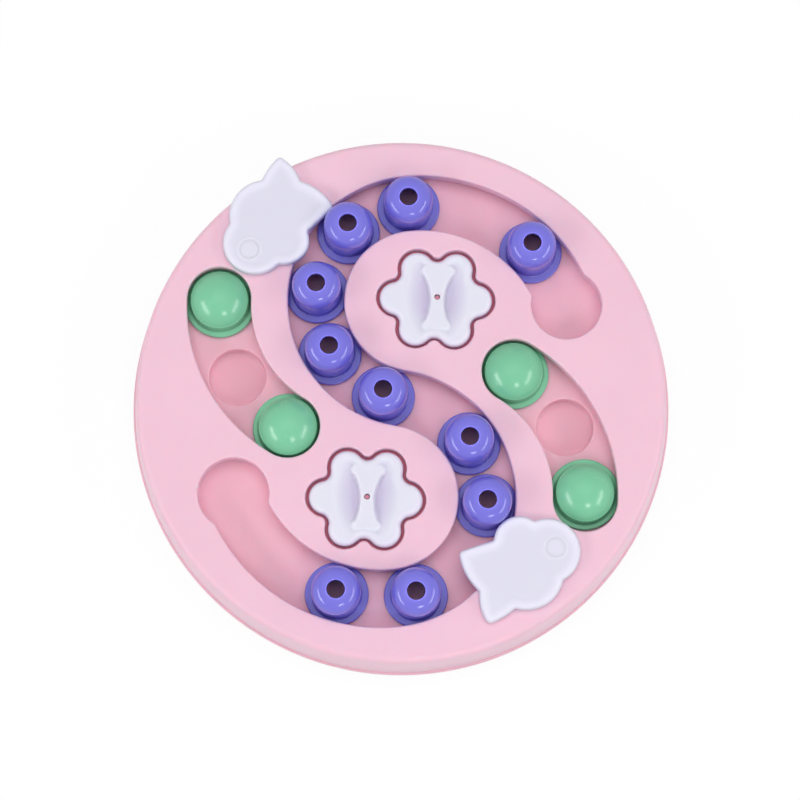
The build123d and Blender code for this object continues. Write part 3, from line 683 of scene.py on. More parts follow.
def moulded(
    name, base, roughness, mottle, grain, grain_bump, coat=0.0, scatter=0.0, depth=(1.0, 1.0, 1.0), levels=()
):
    """Injection-moulded plastic: an even colour with a faint flow mottle, and a fine grain from the mould.

    The grain is drawn coarser than the real one so that it still shows at a hand's distance. Scatter lets
    light travel through the plastic, by depth in mm for red, green and blue. Levels are (height in mm, share
    of the colour, or of its red, green and blue): painted light by height, a share below 1 being painted
    shade on low or recessed places and a share above 1 a painted highlight on an edge."""
    material, tree = bare_material(name)
    place = add(tree, "ShaderNodeTexCoord").outputs["Object"]
    flow = add(
        tree, "ShaderNodeTexNoise", {"Vector": place},
        {"Scale": 1 / FLOW_SIZE, "Detail": 3.0, "Roughness": 0.5},
    )
    fine = add(tree, "ShaderNodeTexNoise", {"Vector": place}, {"Scale": 1 / (grain * MM), "Detail": 2.0})
    rub = add(
        tree, "ShaderNodeTexNoise", {"Vector": place},
        {"Scale": 1 / RUB_SIZE, "Detail": 4.0, "Roughness": 0.6},
    )
    ramp = add(tree, "ShaderNodeValToRGB", {"Fac": flow.outputs["Fac"]})
    peak = max((np.max(share) for _, share in levels), default=1.0)
    ends = ((NOISE_LOW, 1 - mottle), (NOISE_HIGH, 1 + mottle))
    for stop, (position, share) in zip(ramp.color_ramp.elements, ends):
        stop.color = (*[min(1.0, c * peak * share) for c in base], 1.0)
        stop.position = position
    tone = ramp.outputs["Color"]
    # Painted shade and painted highlights, by height.
    if levels:
        tone = painted_light_by_height(tree, place, tone, levels, peak)
    sheen = add(
        tree, "ShaderNodeMapRange", {"Value": rub.outputs["Fac"]},
        {"From Min": NOISE_LOW, "From Max": NOISE_HIGH,
         "To Min": roughness * (1 - RUB_SHARE), "To Max": roughness * (1 + RUB_SHARE)},
    )
    bump = add(
        tree, "ShaderNodeBump", {"Height": fine.outputs["Fac"]},
        {"Strength": grain_bump, "Distance": GRAIN_DEPTH},
    )
    shader = add(
        tree, "ShaderNodeBsdfPrincipled",
        {"Base Color": tone, "Roughness": sheen.outputs["Result"], "Normal": bump.outputs["Normal"]},
        {"IOR": PLASTIC_IOR, "Coat Weight": coat, "Coat Roughness": COAT_ROUGHNESS,
         "Subsurface Weight": scatter, "Subsurface Radius": depth, "Subsurface Scale": MM},
    )
    add(tree, "ShaderNodeOutputMaterial", {"Surface": shader.outputs["BSDF"]})
    return material


HAZE_SIZE = 2 * MM
BRIGHT_ROUGHNESS, HAZY_ROUGHNESS = 0.22, 0.42
TURNING_MARK_SIZE = 0.4 * MM
TURNING_MARK_DEPTH = 0.02 * MM
TURNING_MARK_BUMP = 0.1


def zinc_plated_steel(base):
    """Zinc-plated pressed steel: bright metal with fine turning marks and a little haze."""
    material, tree = bare_material("zinc_plated_steel")
    place = add(tree, "ShaderNodeTexCoord").outputs["Object"]
    haze = add(tree, "ShaderNodeTexNoise", {"Vector": place}, {"Scale": 1 / HAZE_SIZE, "Detail": 3.0})
    rough = add(
        tree, "ShaderNodeMapRange", {"Value": haze.outputs["Fac"]},
        {"To Min": BRIGHT_ROUGHNESS, "To Max": HAZY_ROUGHNESS},
    )
    marks = add(
        tree, "ShaderNodeTexNoise", {"Vector": place}, {"Scale": 1 / TURNING_MARK_SIZE, "Detail": 1.0}
    )
    bump = add(
        tree, "ShaderNodeBump", {"Height": marks.outputs["Fac"]},
        {"Strength": TURNING_MARK_BUMP, "Distance": TURNING_MARK_DEPTH},
    )
    shader = add(
        tree, "ShaderNodeBsdfPrincipled",
        {"Roughness": rough.outputs["Result"], "Normal": bump.outputs["Normal"]},
        {"Base Color": (*base, 1.0), "Metallic": 1.0},
    )
    add(tree, "ShaderNodeOutputMaterial", {"Surface": shader.outputs["BSDF"]})
    return material


PINK_DEPTH = (2.4, 0.7, 0.8)
# Painted shade: shares of the tray's pink that make the sill in the deep gap round a lid, and the peg in a
# lid's scent hole, dark red.
SILL_PAINTED_SHADE = (0.85, 0.42, 0.48)
PEG_PAINTED_SHADE = (0.92, 0.58, 0.64)

# Each plastic's finish, as the name of its colour, how it is moulded, and its painted shade and painted
# highlights by height.
PLASTICS = {
    # ABS from a satin mould: wide soft highlights, and light that sinks in and keeps the shadows warm.
    "abs_pale_pink_satin": ("cover", dict(
        roughness=0.42, mottle=0.012, grain=0.7, grain_bump=0.10, scatter=0.5, depth=PINK_DEPTH,
    )),
    # The same in a deeper pink, with painted shade that makes what stands in the narrow gaps, the sills and
    # the pegs, look dark red.
    "abs_deep_pink_satin": ("tray", dict(
        roughness=0.45, mottle=0.015, grain=0.7, grain_bump=0.10, scatter=0.5, depth=PINK_DEPTH,
        levels=((17.2, 1.0), (19.0, SILL_PAINTED_SHADE), (23.5, SILL_PAINTED_SHADE), (26.0, PEG_PAINTED_SHADE)),
    )),
    # Polypropylene from a polished mould: small bright highlights, painted shade that darkens the flange and
    # the foot of the body, and a painted highlight on the edge of the hole.
    "pp_periwinkle_gloss": ("slider", dict(
        roughness=0.19, mottle=0.03, grain=1.1, grain_bump=0.05, coat=0.4,
        levels=(
            (17.0, 0.84), (19.7, 0.86), (20.6, 0.74), (24.0, 0.94), (30.0, 1.0), (40.22, 1.0), (40.32, 1.4),
        ),
    )),
    # Polypropylene again: a little softer in its highlights, with painted shade on the flange and the foot,
    # and a painted highlight where the side meets the cap.
    "pp_mint_gloss": ("dome", dict(
        roughness=0.25, mottle=0.03, grain=1.1, grain_bump=0.05, coat=0.3,
        levels=(
            (17.0, 0.9), (19.7, 0.92), (20.6, 0.72), (25.0, 0.9),
            (25.4, 1.3), (25.8, 1.3), (26.3, 1.0), (33.0, 1.0),
        ),
    )),
    # White ABS from a satin mould: light spreads far in it, so its forms look soft; painted shade makes the
    # finger dish and the lower sides lilac.
    "abs_cool_white_satin": ("lid", dict(
        roughness=0.38, mottle=0.008, grain=0.8, grain_bump=0.08, scatter=0.9, depth=(2.2, 1.8, 2.0),
        levels=((25.2, (0.80, 0.745, 0.83)), (27.6, 1.0)),
    )),
    # White ABS from a textured mould: duller, with painted shade that makes the field a little greyer than
    # the border.
    "abs_cool_white_textured": ("lid", dict(
        roughness=0.42, mottle=0.008, grain=0.8, grain_bump=0.12, scatter=0.3, depth=(1.6, 1.4, 1.5),
        levels=((31.8, 0.90), (32.4, 1.0)),
    )),
    # Soft rubber, moulded: dull and slightly grainy, with hardly a highlight.
    "tpr_soft_rubber": ("rubber", dict(roughness=0.75, mottle=0.03, grain=0.5, grain_bump=0.25)),
}


def finish_of(name):
    """The material of one finish, made once."""
    if name in bpy.data.materials:
        return bpy.data.materials[name]
    colours = bpy.context.scene.puzzle_colours
    if name == "zinc_plated_steel":
        return zinc_plated_steel(colours.steel)
    part, values = PLASTICS[name]
    return moulded(name, getattr(colours, part), **values)


def growing_tree(name, inputs):
    """A node tree with its named inputs, and the sockets that give them."""
    tree = bpy.data.node_groups.new(name, "GeometryNodeTree")
    for label, kind in (("Geometry", "Geometry"), *inputs, ("Material", "Material")):
        tree.interface.new_socket(label, in_out="INPUT", socket_type=f"NodeSocket{kind}")
    tree.interface.new_socket("Geometry", in_out="OUTPUT", socket_type="NodeSocketGeometry")
    return tree, add(tree, "NodeGroupInput").outputs


def end_tree(tree, given, geometry):
    """Ends a tree with real geometry that has its material."""
    real = add(tree, "GeometryNodeRealizeInstances", {"Geometry": geometry})
    dressed = add(
        tree, "GeometryNodeSetMaterial", {"Geometry": real.outputs["Geometry"], "Material": given["Material"]}
    )
    add(tree, "NodeGroupOutput", {"Geometry": dressed.outputs["Geometry"]})
    return tree


def turning_tree():
    """Node tree that turns the object's own profile about +Z at a place.

    The profile's x is its radius less the guide radius, and its y is the height, downwards."""
    made = bpy.data.node_groups.get("turned_piece")
    if made:
        return made
    tree, given = growing_tree(
        "turned_piece", (("Guide Radius", "Float"), ("Place", "Vector"), ("Segments", "Int"))
    )
    profile = add(tree, "GeometryNodeMeshToCurve", {"Mesh": given["Geometry"]})
    circle = add(
        tree, "GeometryNodeCurvePrimitiveCircle",
        {"Resolution": given["Segments"], "Radius": given["Guide Radius"]},
    )
    swept = add(
        tree, "GeometryNodeCurveToMesh",
        {"Curve": circle.outputs["Curve"], "Profile Curve": profile.outputs["Curve"]},
    )
    welded = add(
        tree, "GeometryNodeMergeByDistance", {"Geometry": swept.outputs["Mesh"]}, {"Distance": TREE_WELD}
    )
    moved = add(
        tree, "GeometryNodeTransform",
        {"Geometry": welded.outputs["Geometry"], "Translation": given["Place"]},
    )
    return end_tree(tree, given, moved.outputs["Geometry"])


def scatter_tree():
    """Node tree that sets a copy of a model object on each of the object's own points."""
    made = bpy.data.node_groups.get("set_on_points")
    if made:
        return made
    tree, given = growing_tree("set_on_points", (("Model", "Object"),))
    model = add(tree, "GeometryNodeObjectInfo", {"Object": given["Model"]})
    points = add(tree, "GeometryNodeMeshToPoints", {"Mesh": given["Geometry"]})
    copies = add(
        tree, "GeometryNodeInstanceOnPoints",
        {"Points": points.outputs["Points"], "Instance": model.outputs["Geometry"]},
    )
    return end_tree(tree, given, copies.outputs["Instances"])


def grown(tree, points, edges, inputs):
    """Plain mesh that a node tree makes from points and edges, with its inputs given by name."""
    seed = bpy.data.meshes.new("seed")
    seed.from_pydata(points, edges, [])
    holder = bpy.data.objects.new("seed", seed)
    bpy.context.scene.collection.objects.link(holder)
    modifier = holder.modifiers.new("grow", "NODES")
    modifier.node_group = tree
    sockets = {s.name: s.identifier for s in tree.interface.items_tree if s.in_out == "INPUT"}
    for label, value in inputs.items():
        modifier[sockets[label]] = value
    bpy.context.view_layer.update()
    data = bpy.data.meshes.new_from_object(holder.evaluated_get(bpy.context.evaluated_depsgraph_get()))
    holder.modifiers.remove(modifier)
    bpy.data.objects.remove(holder)
    bpy.data.meshes.remove(seed)
    if not data.polygons:
        raise RuntimeError("a node tree made no faces")
    outward(data)
    return data


def outward(data):
    """Turns a closed mesh's faces outwards."""
    mesh = bmesh.new()
    mesh.from_mesh(data)
    bmesh.ops.remove_doubles(mesh, verts=mesh.verts, dist=WELD)
    bmesh.ops.dissolve_degenerate(mesh, edges=mesh.edges, dist=SLIVER)
    bmesh.ops.recalc_face_normals(mesh, faces=mesh.faces)
    mesh.to_mesh(data)
    mesh.free()


def turned(profile, place, closed, segments, material):
    """Mesh of a profile of (radius, height) turned about +Z at a place."""
    profile = np.asarray(profile)
    guide = float(profile[:, 0].mean())
    points = [(r - guide, -z, 0.0) for r, z in profile]
    count = len(points)
    edges = [(k, (k + 1) % count) for k in range(count if closed else count - 1)]
    return grown(turning_tree(), points, edges, {
        "Guide Radius": guide, "Place": (place[0], place[1], 0.0), "Segments": segments, "Material": material,
    })


def corner(centre, radius, start, end, steps=6):
    """Points of a rounding between two directions."""
    return [tuple(np.asarray(centre) + radius * unit(a)) for a in np.linspace(start, end, steps + 1)]


def slider_profile(s):
    """Closed section of a hollow track slider, from its inner lower edge round its outside."""
    top_round = s.body - s.hole - s.hole_land
    inner = s.body - s.wall
    inner_round = inner - s.hole
    r, f = s.flange_round, s.flange
    section = [(inner, 0.0)]
    section += corner((f - r, r), r, -QUARTER, 0)
    section += corner((f - r, s.flange_thickness - r), r, 0, QUARTER)
    section += corner((s.body + s.fillet, s.flange_thickness + s.fillet), s.fillet, 3 * QUARTER, HALF_TURN)
    section += corner((s.body - top_round, s.height - s.bead - top_round), top_round, 0, QUARTER, steps=24)
    hole_edge = (s.hole + s.hole_round, s.height - s.hole_round)
    section += corner(hole_edge, s.hole_round, QUARTER / 3, HALF_TURN, steps=8)
    section += corner((s.hole, s.height - s.wall - inner_round), inner_round, QUARTER, 0, steps=12)
    return [(x, z + s.seat) for x, z in section]


def dome_profile(d, s):
    """Open section of a hollow dome, from the top of its cap round its outside to the roof inside."""
    cap_radius = (d.brow**2 + d.cap**2) / (2 * d.cap)
    height = d.side + d.cap
    cap_centre = np.array((0.0, height - cap_radius))
    e = d.edge_round
    edge_x = d.brow - e
    edge_centre = np.array((edge_x, cap_centre[1] + math.sqrt((cap_radius - e) ** 2 - edge_x**2)))
    meet = angle_of(edge_centre - cap_centre)
    inner = d.brow - d.wall
    inner_cap = cap_radius - d.wall
    inner_start = math.acos(inner / inner_cap)
    section = corner(cap_centre, cap_radius, QUARTER, meet, steps=28)
    section += corner(edge_centre, e, meet, 0, steps=8)[1:]
    section += corner((d.body + s.fillet, s.flange_thickness + s.fillet), s.fillet, HALF_TURN, 3 * QUARTER)
    r = s.flange_round
    section += corner((d.flange - r, s.flange_thickness - r), r, QUARTER, 0)
    section += corner((d.flange - r, r), r, 0, -QUARTER)
    section += [(inner, 0.0)]
    section += corner(cap_centre, inner_cap, inner_start, QUARTER, steps=20)
    section[0] = (0.0, section[0][1])
    section[-1] = (0.0, section[-1][1])
    return [(x, z + s.seat) for x, z in section]


def smooth(value):
    """Smooth step from 0 to 1."""
    v = np.clip(value, 0.0, 1.0)
    return v * v * (3 - 2 * v)


def distance_to(loop_points, points):
    """Distance of each point to a closed outline, and whether it lies inside."""
    ends = np.roll(loop_points, -1, axis=0)
    spans = ends - loop_points
    sizes = np.maximum((spans**2).sum(1), TINY)
    best = np.full(len(points), np.inf)
    inside = np.zeros(len(points), bool)
    for start, end, span, size in zip(loop_points, ends, spans, sizes):
        share = np.clip(((points - start) @ span) / size, 0, 1)
        gap = points - start - share[:, None] * span
        best = np.minimum(best, (gap**2).sum(1))
        crosses = (start[1] > points[:, 1]) != (end[1] > points[:, 1])
        if crosses.any():
            cut = start[0] + (points[:, 1] - start[1]) * span[0] / (span[1] if span[1] else TINY)
            inside ^= crosses & (points[:, 0] < cut)
    return np.sqrt(best), inside


def face_grid(mesh, inner, outer, shares, height):
    """Rings from an inner loop to an outer one, each point at its height; gives the first and last ring."""
    rows = [inner + (outer - inner) * share for share in shares]
    levels = height(np.concatenate(rows)).reshape(len(rows), -1)
    rings = [[mesh.verts.new((x, y, z)) for (x, y), z in zip(*pair)] for pair in zip(rows, levels)]
    for first, second in zip(rings, rings[1:]):
        band(mesh, first, second)
    return rings[0], rings[-1]


def flower_places(s):
    """Middles of the two flowers."""
    place = np.array(s.place)
    return place, -place


def lid_heart(s, place):
    """Middle of a lid's bone grip, where its scent hole is."""
    return place + spun(s.turn) @ np.array(s.bone_shift)


def fish_pivots(f):
    """Pivots of the two fish with their directions."""
    pivot = np.array(f.pivot)
    return (pivot, f.first_bearing), (-pivot, f.second_bearing)


def fish_wells(f):
    """Middles of the treat wells under the two fish."""
    place = np.array(f.pivot) + f.well_setback * unit(f.first_bearing)
    return place, -place


def screw_places():
    """Places of the six screws."""
    return [*SCREW_PLACES, *[-p for p in SCREW_PLACES]]


class PUZZLE_OT_cover_shell(Operator):
    """Upper shell: deck with its openings, rounded rim and flaring skirt"""

    bl_idname = "puzzle.cover_shell"
    bl_label = "Upper Shell"

    def execute(self, context):
        scene = context.scene
        h, t, s, f = scene.puzzle_shell, scene.puzzle_track, scene.puzzle_lid, scene.puzzle_fish
        under = h.deck - h.deck_thickness
        edge = opening_edge(h.edge_round, h.deck)
        track, side = track_loop(t), side_loop(t)
        openings = [(track, [*edge, *self.guide(h, t, self.track_lip(t, track), under)])]
        openings += [(loop, [*edge, *self.guide(h, t, t.lip, under)]) for loop in (side, half_turned(side))]
        collar = [(0.0, h.floor), (h.collar, h.floor), (h.collar, under)]
        openings += [(flower_loop(s, place, 0.0), [*edge, *collar]) for place in flower_places(s)]
        openings += [(round_loop(place, f.well), [*edge, *collar]) for place in fish_wells(f)]
        boss = f.boss - f.bore
        sleeve = [(0.0, h.deck), (0.0, f.boss_bottom), (boss, f.boss_bottom), (boss, under)]
        openings += [(round_loop(pivot, f.bore), sleeve) for pivot, _ in fish_pivots(f)]
        mesh = bmesh.new()
        walls = [wall(mesh, loop, rows) for loop, rows in openings]
        walls.insert(0, wall(mesh, turned_loop(RIM_SEGMENTS), self.skirt(h, under)))
        for rings in zip(*walls):
            fill(mesh, *rings)
        pink = finish_of("abs_pale_pink_satin")
        finished(mesh, "cover_shell", pink, "shell", ["track_cover"])
        return {"FINISHED"}

    def track_lip(self, t, loop):
        """Width of the S slot's lip at each point of its edge, which runs out at the keyholes."""
        keyhole = track_centres(t)[2]
        away = np.minimum(np.hypot(*(loop[0] - keyhole).T), np.hypot(*(loop[0] + keyhole).T))
        clear = t.keyhole + t.neck
        return KEYHOLE_LIP + (t.lip - KEYHOLE_LIP) * smooth((away - clear) / LIP_FADE)

    def guide(self, h, t, lip, under):
        """Rows from a slot's wall under its lip and round the guide that holds the flanges."""
        low = h.deck - t.lip_depth
        rows = [(0.0, low + LIP_NICK), (LIP_NICK / 3, low + LIP_NICK / 3), (LIP_NICK, low)]
        return [*rows, (lip, low), (lip, h.floor), (lip + h.collar, h.floor), (lip + h.collar, under)]

    def skirt(self, h, under):
        """Rows, as (radius, height), over the rim, down the skirt and back up inside it."""
        slope = np.array((h.bottom_radius - h.top_radius, h.skirt_bottom - h.deck))
        slope /= math.hypot(*slope)
        out = np.array((-slope[1], slope[0]))
        centre = (h.top_radius + (h.rim_round * out[1] - h.rim_round) / out[0], h.deck - h.rim_round)
        foot = (h.bottom_radius - SKIRT_EDGE, h.skirt_bottom + SKIRT_EDGE)
        return [
            (centre[0] - SUPPORT, h.deck),
            *corner(centre, h.rim_round, QUARTER, angle_of(out), steps=16),
            *corner(foot, SKIRT_EDGE, 0, -QUARTER, steps=4),
            (h.bottom_radius - h.skirt_wall, h.skirt_bottom),
            (h.top_radius - h.skirt_wall, under),
        ]


class PUZZLE_OT_tray_shell(Operator):
    """Lower shell: track floor, treat wells, flower cups, bottom rim and what shows underneath"""

    bl_idname = "puzzle.tray_shell"
    bl_label = "Lower Shell"

    def execute(self, context):
        scene = context.scene
        h, t, s, f = scene.puzzle_shell, scene.puzzle_track, scene.puzzle_lid, scene.puzzle_fish
        g = scene.puzzle_fasteners
        under = h.floor - h.floor_thickness
        cups = [(round_loop(p, t.well_radius), t.well_depth, t.well_round, None) for p in side_wells(t)]
        cups += [(round_loop(p, f.well), f.well_depth, t.well_round, None) for p in fish_wells(f)]
        cups += [(flower_loop(s, p, s.gap + s.ledge), s.cup_depth, s.cup_round, p) for p in flower_places(s)]
        mesh = bmesh.new()
        tops, hanging = [], []
        for loop, depth, bottom_round, flower in cups:
            level = h.floor - depth
            bend = quarter_round(bottom_round, level, drop=-1)[::-1]
            rows = [*opening_edge(t.well_edge, h.floor), *[(o - bottom_round, z) for o, z in bend]]
            top, bottom = wall(mesh, loop, [*rows, (-bottom_round - SUPPORT, level)])
            pegs = []
            if flower is not None:
                pegs.append(self.peg(mesh, s, flower, level))
                top = self.sill(mesh, h, s, flower, top)
            fill(mesh, bottom, *pegs)
            tops.append(top)
            skin = h.tray_wall
            outside = [(skin - bottom_round + o, z - skin) for o, z in bend]
            hanging.append((loop, [(skin, under), (skin, level), *outside]))
        dip = g.foot_seat - g.foot_post
        post = [(0.0, under), (0.0, h.rim_bottom), (dip, h.rim_bottom), (dip, g.foot_top)]
        hanging += [(round_loop(g.foot_circle * unit(a), g.foot_post), post) for a in FOOT_BEARINGS]
        pad = [(0.0, under), (0.0, g.screw_pad_bottom)]
        hanging += [(round_loop(place, g.screw_pad), pad) for place in screw_places()]
        bottoms = []
        for loop, rows in hanging:
            top, bottom = wall(mesh, loop, rows)
            fill(mesh, bottom)
            bottoms.append(top)
        top, bottom = wall(mesh, turned_loop(RIM_SEGMENTS), self.rim(h, under))
        fill(mesh, top, *tops)
        fill(mesh, bottom, *bottoms)
        pink = finish_of("abs_deep_pink_satin")
        finished(mesh, "tray_shell", pink, "shell", ["base_tray"])
        return {"FINISHED"}

    def peg(self, mesh, s, flower, level):
        """Peg from a cup's bottom up into a lid's scent hole; gives the ring at its foot."""
        crown = [(o - s.peg_round, z) for o, z in quarter_round(s.peg_round, s.peg_top)]
        tip, foot = wall(mesh, round_loop(lid_heart(s, flower), s.peg), [*crown, (0.0, level)])
        fill(mesh, tip)
        return foot

    def sill(self, mesh, h, s, flower, cup_top):
        """Sill in the gap round a lid, with the floor inside it; gives the ring at its outer foot."""
        near, far = -s.sill_gap, s.sill_gap - s.gap
        rows = [(near, h.floor), (near, s.sill_top), (far, s.sill_top), (far, h.floor)]
        outside, inside = wall(mesh, flower_loop(s, flower, 0.0), rows)
        fill(mesh, inside, cup_top)
        return outside

    def rim(self, h, under):
        """Rows, as (radius, height), down the tray's wall, round its bottom rim and back up inside."""
        e = h.base_round
        inner = h.tray_radius - h.tray_wall
        lower = (inner + TRAY_EDGE, h.rim_bottom + TRAY_EDGE)
        return [
            (h.tray_radius, h.floor),
            (h.tray_radius, h.rim_top),
            *corner((h.base_radius - e, h.rim_top - e), e, QUARTER, 0, steps=8),
            *corner((h.base_radius - e, h.rim_bottom + e), e, 0, -QUARTER, steps=8),
            *corner(lower, TRAY_EDGE, -QUARTER, -HALF_TURN, steps=4),
            (inner, under),
        ]


class PUZZLE_OT_track_sliders(Operator):
    """Ten hollow track sliders, each turned from one section"""

    bl_idname = "puzzle.track_sliders"
    bl_label = "Track Sliders"

    def execute(self, context):
        s = context.scene.puzzle_slider
        material = finish_of("pp_periwinkle_gloss")
        section = slider_profile(s)
        for number in range(1, SLIDER_COUNT + 1):
            node = f"track_slider_{number}"
            low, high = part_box(node)
            place = (low + high) / 2
            data = turned(section, place, True, s.segments, material)
            placed(
                data, f"slider_cap_{number}", material, f"slider_{number}", [node], sharp=60
            )
        return {"FINISHED"}


class PUZZLE_OT_dome_sliders(Operator):
    """Four domed sliders, each turned from one section"""

    bl_idname = "puzzle.dome_sliders"
    bl_label = "Domed Sliders"

    def execute(self, context):
        s = context.scene.puzzle_slider
        material = finish_of("pp_mint_gloss")
        section = dome_profile(context.scene.puzzle_dome, s)
        for number in range(1, DOME_COUNT + 1):
            node = f"dome_slider_{number}"
            low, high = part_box(node)
            place = (low + high) / 2
            data = turned(section, place, False, s.segments, material)
            placed(
                data, f"dome_cap_{number}", material, f"dome_{number}", [node], sharp=60
            )
        return {"FINISHED"}


class PUZZLE_OT_flower_lids(Operator):
    """Two flower lids with a finger dish, a bone grip and a scent hole"""

    bl_idname = "puzzle.flower_lids"
    bl_label = "Flower Lids"

    def execute(self, context):
        s = context.scene.puzzle_lid
        material = finish_of("abs_cool_white_satin")
        for number, place in enumerate(flower_places(s), start=1):
            heart = lid_heart(s, place)
            edge = flower_loop(s, place, s.gap)
            outer = edge[0] - edge[1] * s.edge_round
            spokes = (outer - heart) / np.hypot(*(outer - heart).T)[:, None]
            inner = heart + spokes * s.scent_hole
            mesh = bmesh.new()
            first, last = face_grid(
                mesh, inner, outer, np.linspace(0, 1, LID_RINGS), lambda p: self.face(s, edge, heart, p)
            )
            lining = edge[0] - edge[1] * s.ledge
            hole, hem = face_grid(
                mesh, inner, lining, np.linspace(0, 1, LINING_RINGS),
                lambda p: self.face(s, edge, heart, p) - s.shell,
            )
            rows = [(o - s.edge_round, z) for o, z in quarter_round(s.edge_round, s.top)][1:]
            rows += [(0.0, s.bottom + LID_FOOT), (-LID_FOOT / 3, s.bottom + LID_FOOT / 3)]
            rows += [(-LID_FOOT, s.bottom), (-s.ledge, s.bottom)]
            begin, end = wall(mesh, edge, rows)
            for pair in ((last, begin), (first, hole), (end, hem)):
                band(mesh, *pair)
            node = f"flower_lid_{number}"
            finished(mesh, f"lid_flower_{number}", material, f"lid_{number}", [node])
        return {"FINISHED"}

    def face(self, s, edge, heart, points):
        """Heights of a lid's upper face: finger dish, the bone that stands in it and the scent ring."""
        local = (points - heart) @ spun(s.turn)
        across, along = local[:, 0] / s.dish_width, (local[:, 1] - s.dish_shift) / s.dish_length
        margin, _ = distance_to(edge[0], points)
        fade = smooth((margin - s.edge_round) / s.dish_fade)
        dish = s.dish_depth * np.clip(1 - (across**2 + along**2), 0, 1) ** DISH_POWER * fade
        gap, inside = distance_to(bone_loop(s), local)
        grip = smooth((GRIP_LEAD - np.where(inside, -gap, gap)) / GRIP_SLOPE)
        ring_rise = s.scent_ring_height * smooth((s.scent_ring - np.hypot(*local.T)) / SCENT_RING_SLOPE)
        return s.top - dish * (1 - grip) + ring_rise


class PUZZLE_OT_fish_covers(Operator):
    """Two fish covers with a raised border, and the pivot pins that show as their eyes"""

    bl_idname = "puzzle.fish_covers"
    bl_label = "Fish Covers"

    def execute(self, context):
        f = context.scene.puzzle_fish
        material = finish_of("abs_cool_white_textured")
        for number, (pivot, heading) in enumerate(fish_pivots(f), start=1):
            mesh, eye_top = self.plate(f)
            turn = spun(heading)
            for v in mesh.verts:
                v.co.x, v.co.y = turn @ np.array(v.co.xy) + pivot
            node = f"fish_cover_{number}"
            finished(mesh, f"fish_plate_{number}", material, f"fish_{number}", [node])
            data = turned(self.pin(f, eye_top), pivot, False, PIN_SEGMENTS, material)
            placed(data, f"fish_eye_pin_{number}", material, "shell", [f"fish_pivot_{number}"])
        return {"FINISHED"}

    def face(self, f, outline, points):
        """Heights of a fish's upper face: the field inside the raised border, which rises at the eye."""
        gap, _ = distance_to(outline[0], points)
        slope = smooth((gap - f.border + FIELD_LEAD) / FIELD_SLOPE)
        eye = np.hypot(*points.T) - f.eye
        rise = EYE_RISE_SHARE * smooth((EYE_RISE_WIDTH - eye) / EYE_RISE_WIDTH)
        return f.underside + f.thickness - f.field * slope * (1 - rise)

    def plate(self, f):
        """Mesh of a fish with its eye at the origin, and the height of its face beside the eye."""
        mesh = bmesh.new()
        outline = fish_loop(f)
        inner_edge = outline[0] - outline[1] * f.edge_round
        spokes = inner_edge / np.hypot(*inner_edge.T)[:, None]
        first, last = face_grid(
            mesh, spokes * (f.eye + f.groove), inner_edge, np.linspace(0, 1, FISH_RINGS) ** FISH_RING_POWER,
            lambda p: self.face(f, outline, p),
        )
        rows = [(o - f.edge_round, z) for o, z in quarter_round(f.edge_round, f.underside + f.thickness)][1:]
        rows += [(0.0, f.underside + FISH_FOOT), (-FISH_FOOT, f.underside)]
        begin, end = wall(mesh, outline, rows)
        band(mesh, last, begin)
        eye_top = sum(v.co.z for v in first) / len(first)
        steps = [first]
        for share in GROOVE_SHARES:
            level = eye_top - f.groove_depth * smooth(share)
            steps.append(level_ring(mesh, spokes * (f.eye + f.groove * (1 - share)), level))
        steps.append(level_ring(mesh, spokes * f.eye, f.eye_seat))
        steps += [level_ring(mesh, spokes * f.bore, z) for z in (f.eye_seat, f.underside)]
        for pair in zip(steps, steps[1:]):
            band(mesh, *pair)
        fill(mesh, end, steps[-1])
        return mesh, eye_top

    def pin(self, f, eye_top):
        """Section of a pivot pin: a low crown, the inner slope of the eye's groove, head and shank."""
        seat = f.eye_seat + PIN_SEAT_GAP
        land = f.pin_head - f.groove
        edge = eye_top - f.groove_depth
        drop = f.pin_head_top - f.crown - edge
        section = [(land * share, f.pin_head_top - f.crown * share**2) for share in CROWN_SHARES]
        section += [(land + f.groove * share, edge + drop * (1 - smooth(share))) for share in GROOVE_SHARES]
        return [*section, (f.pin_head, seat), (f.pin, seat), (f.pin, f.pin_bottom), (0.0, f.pin_bottom)]


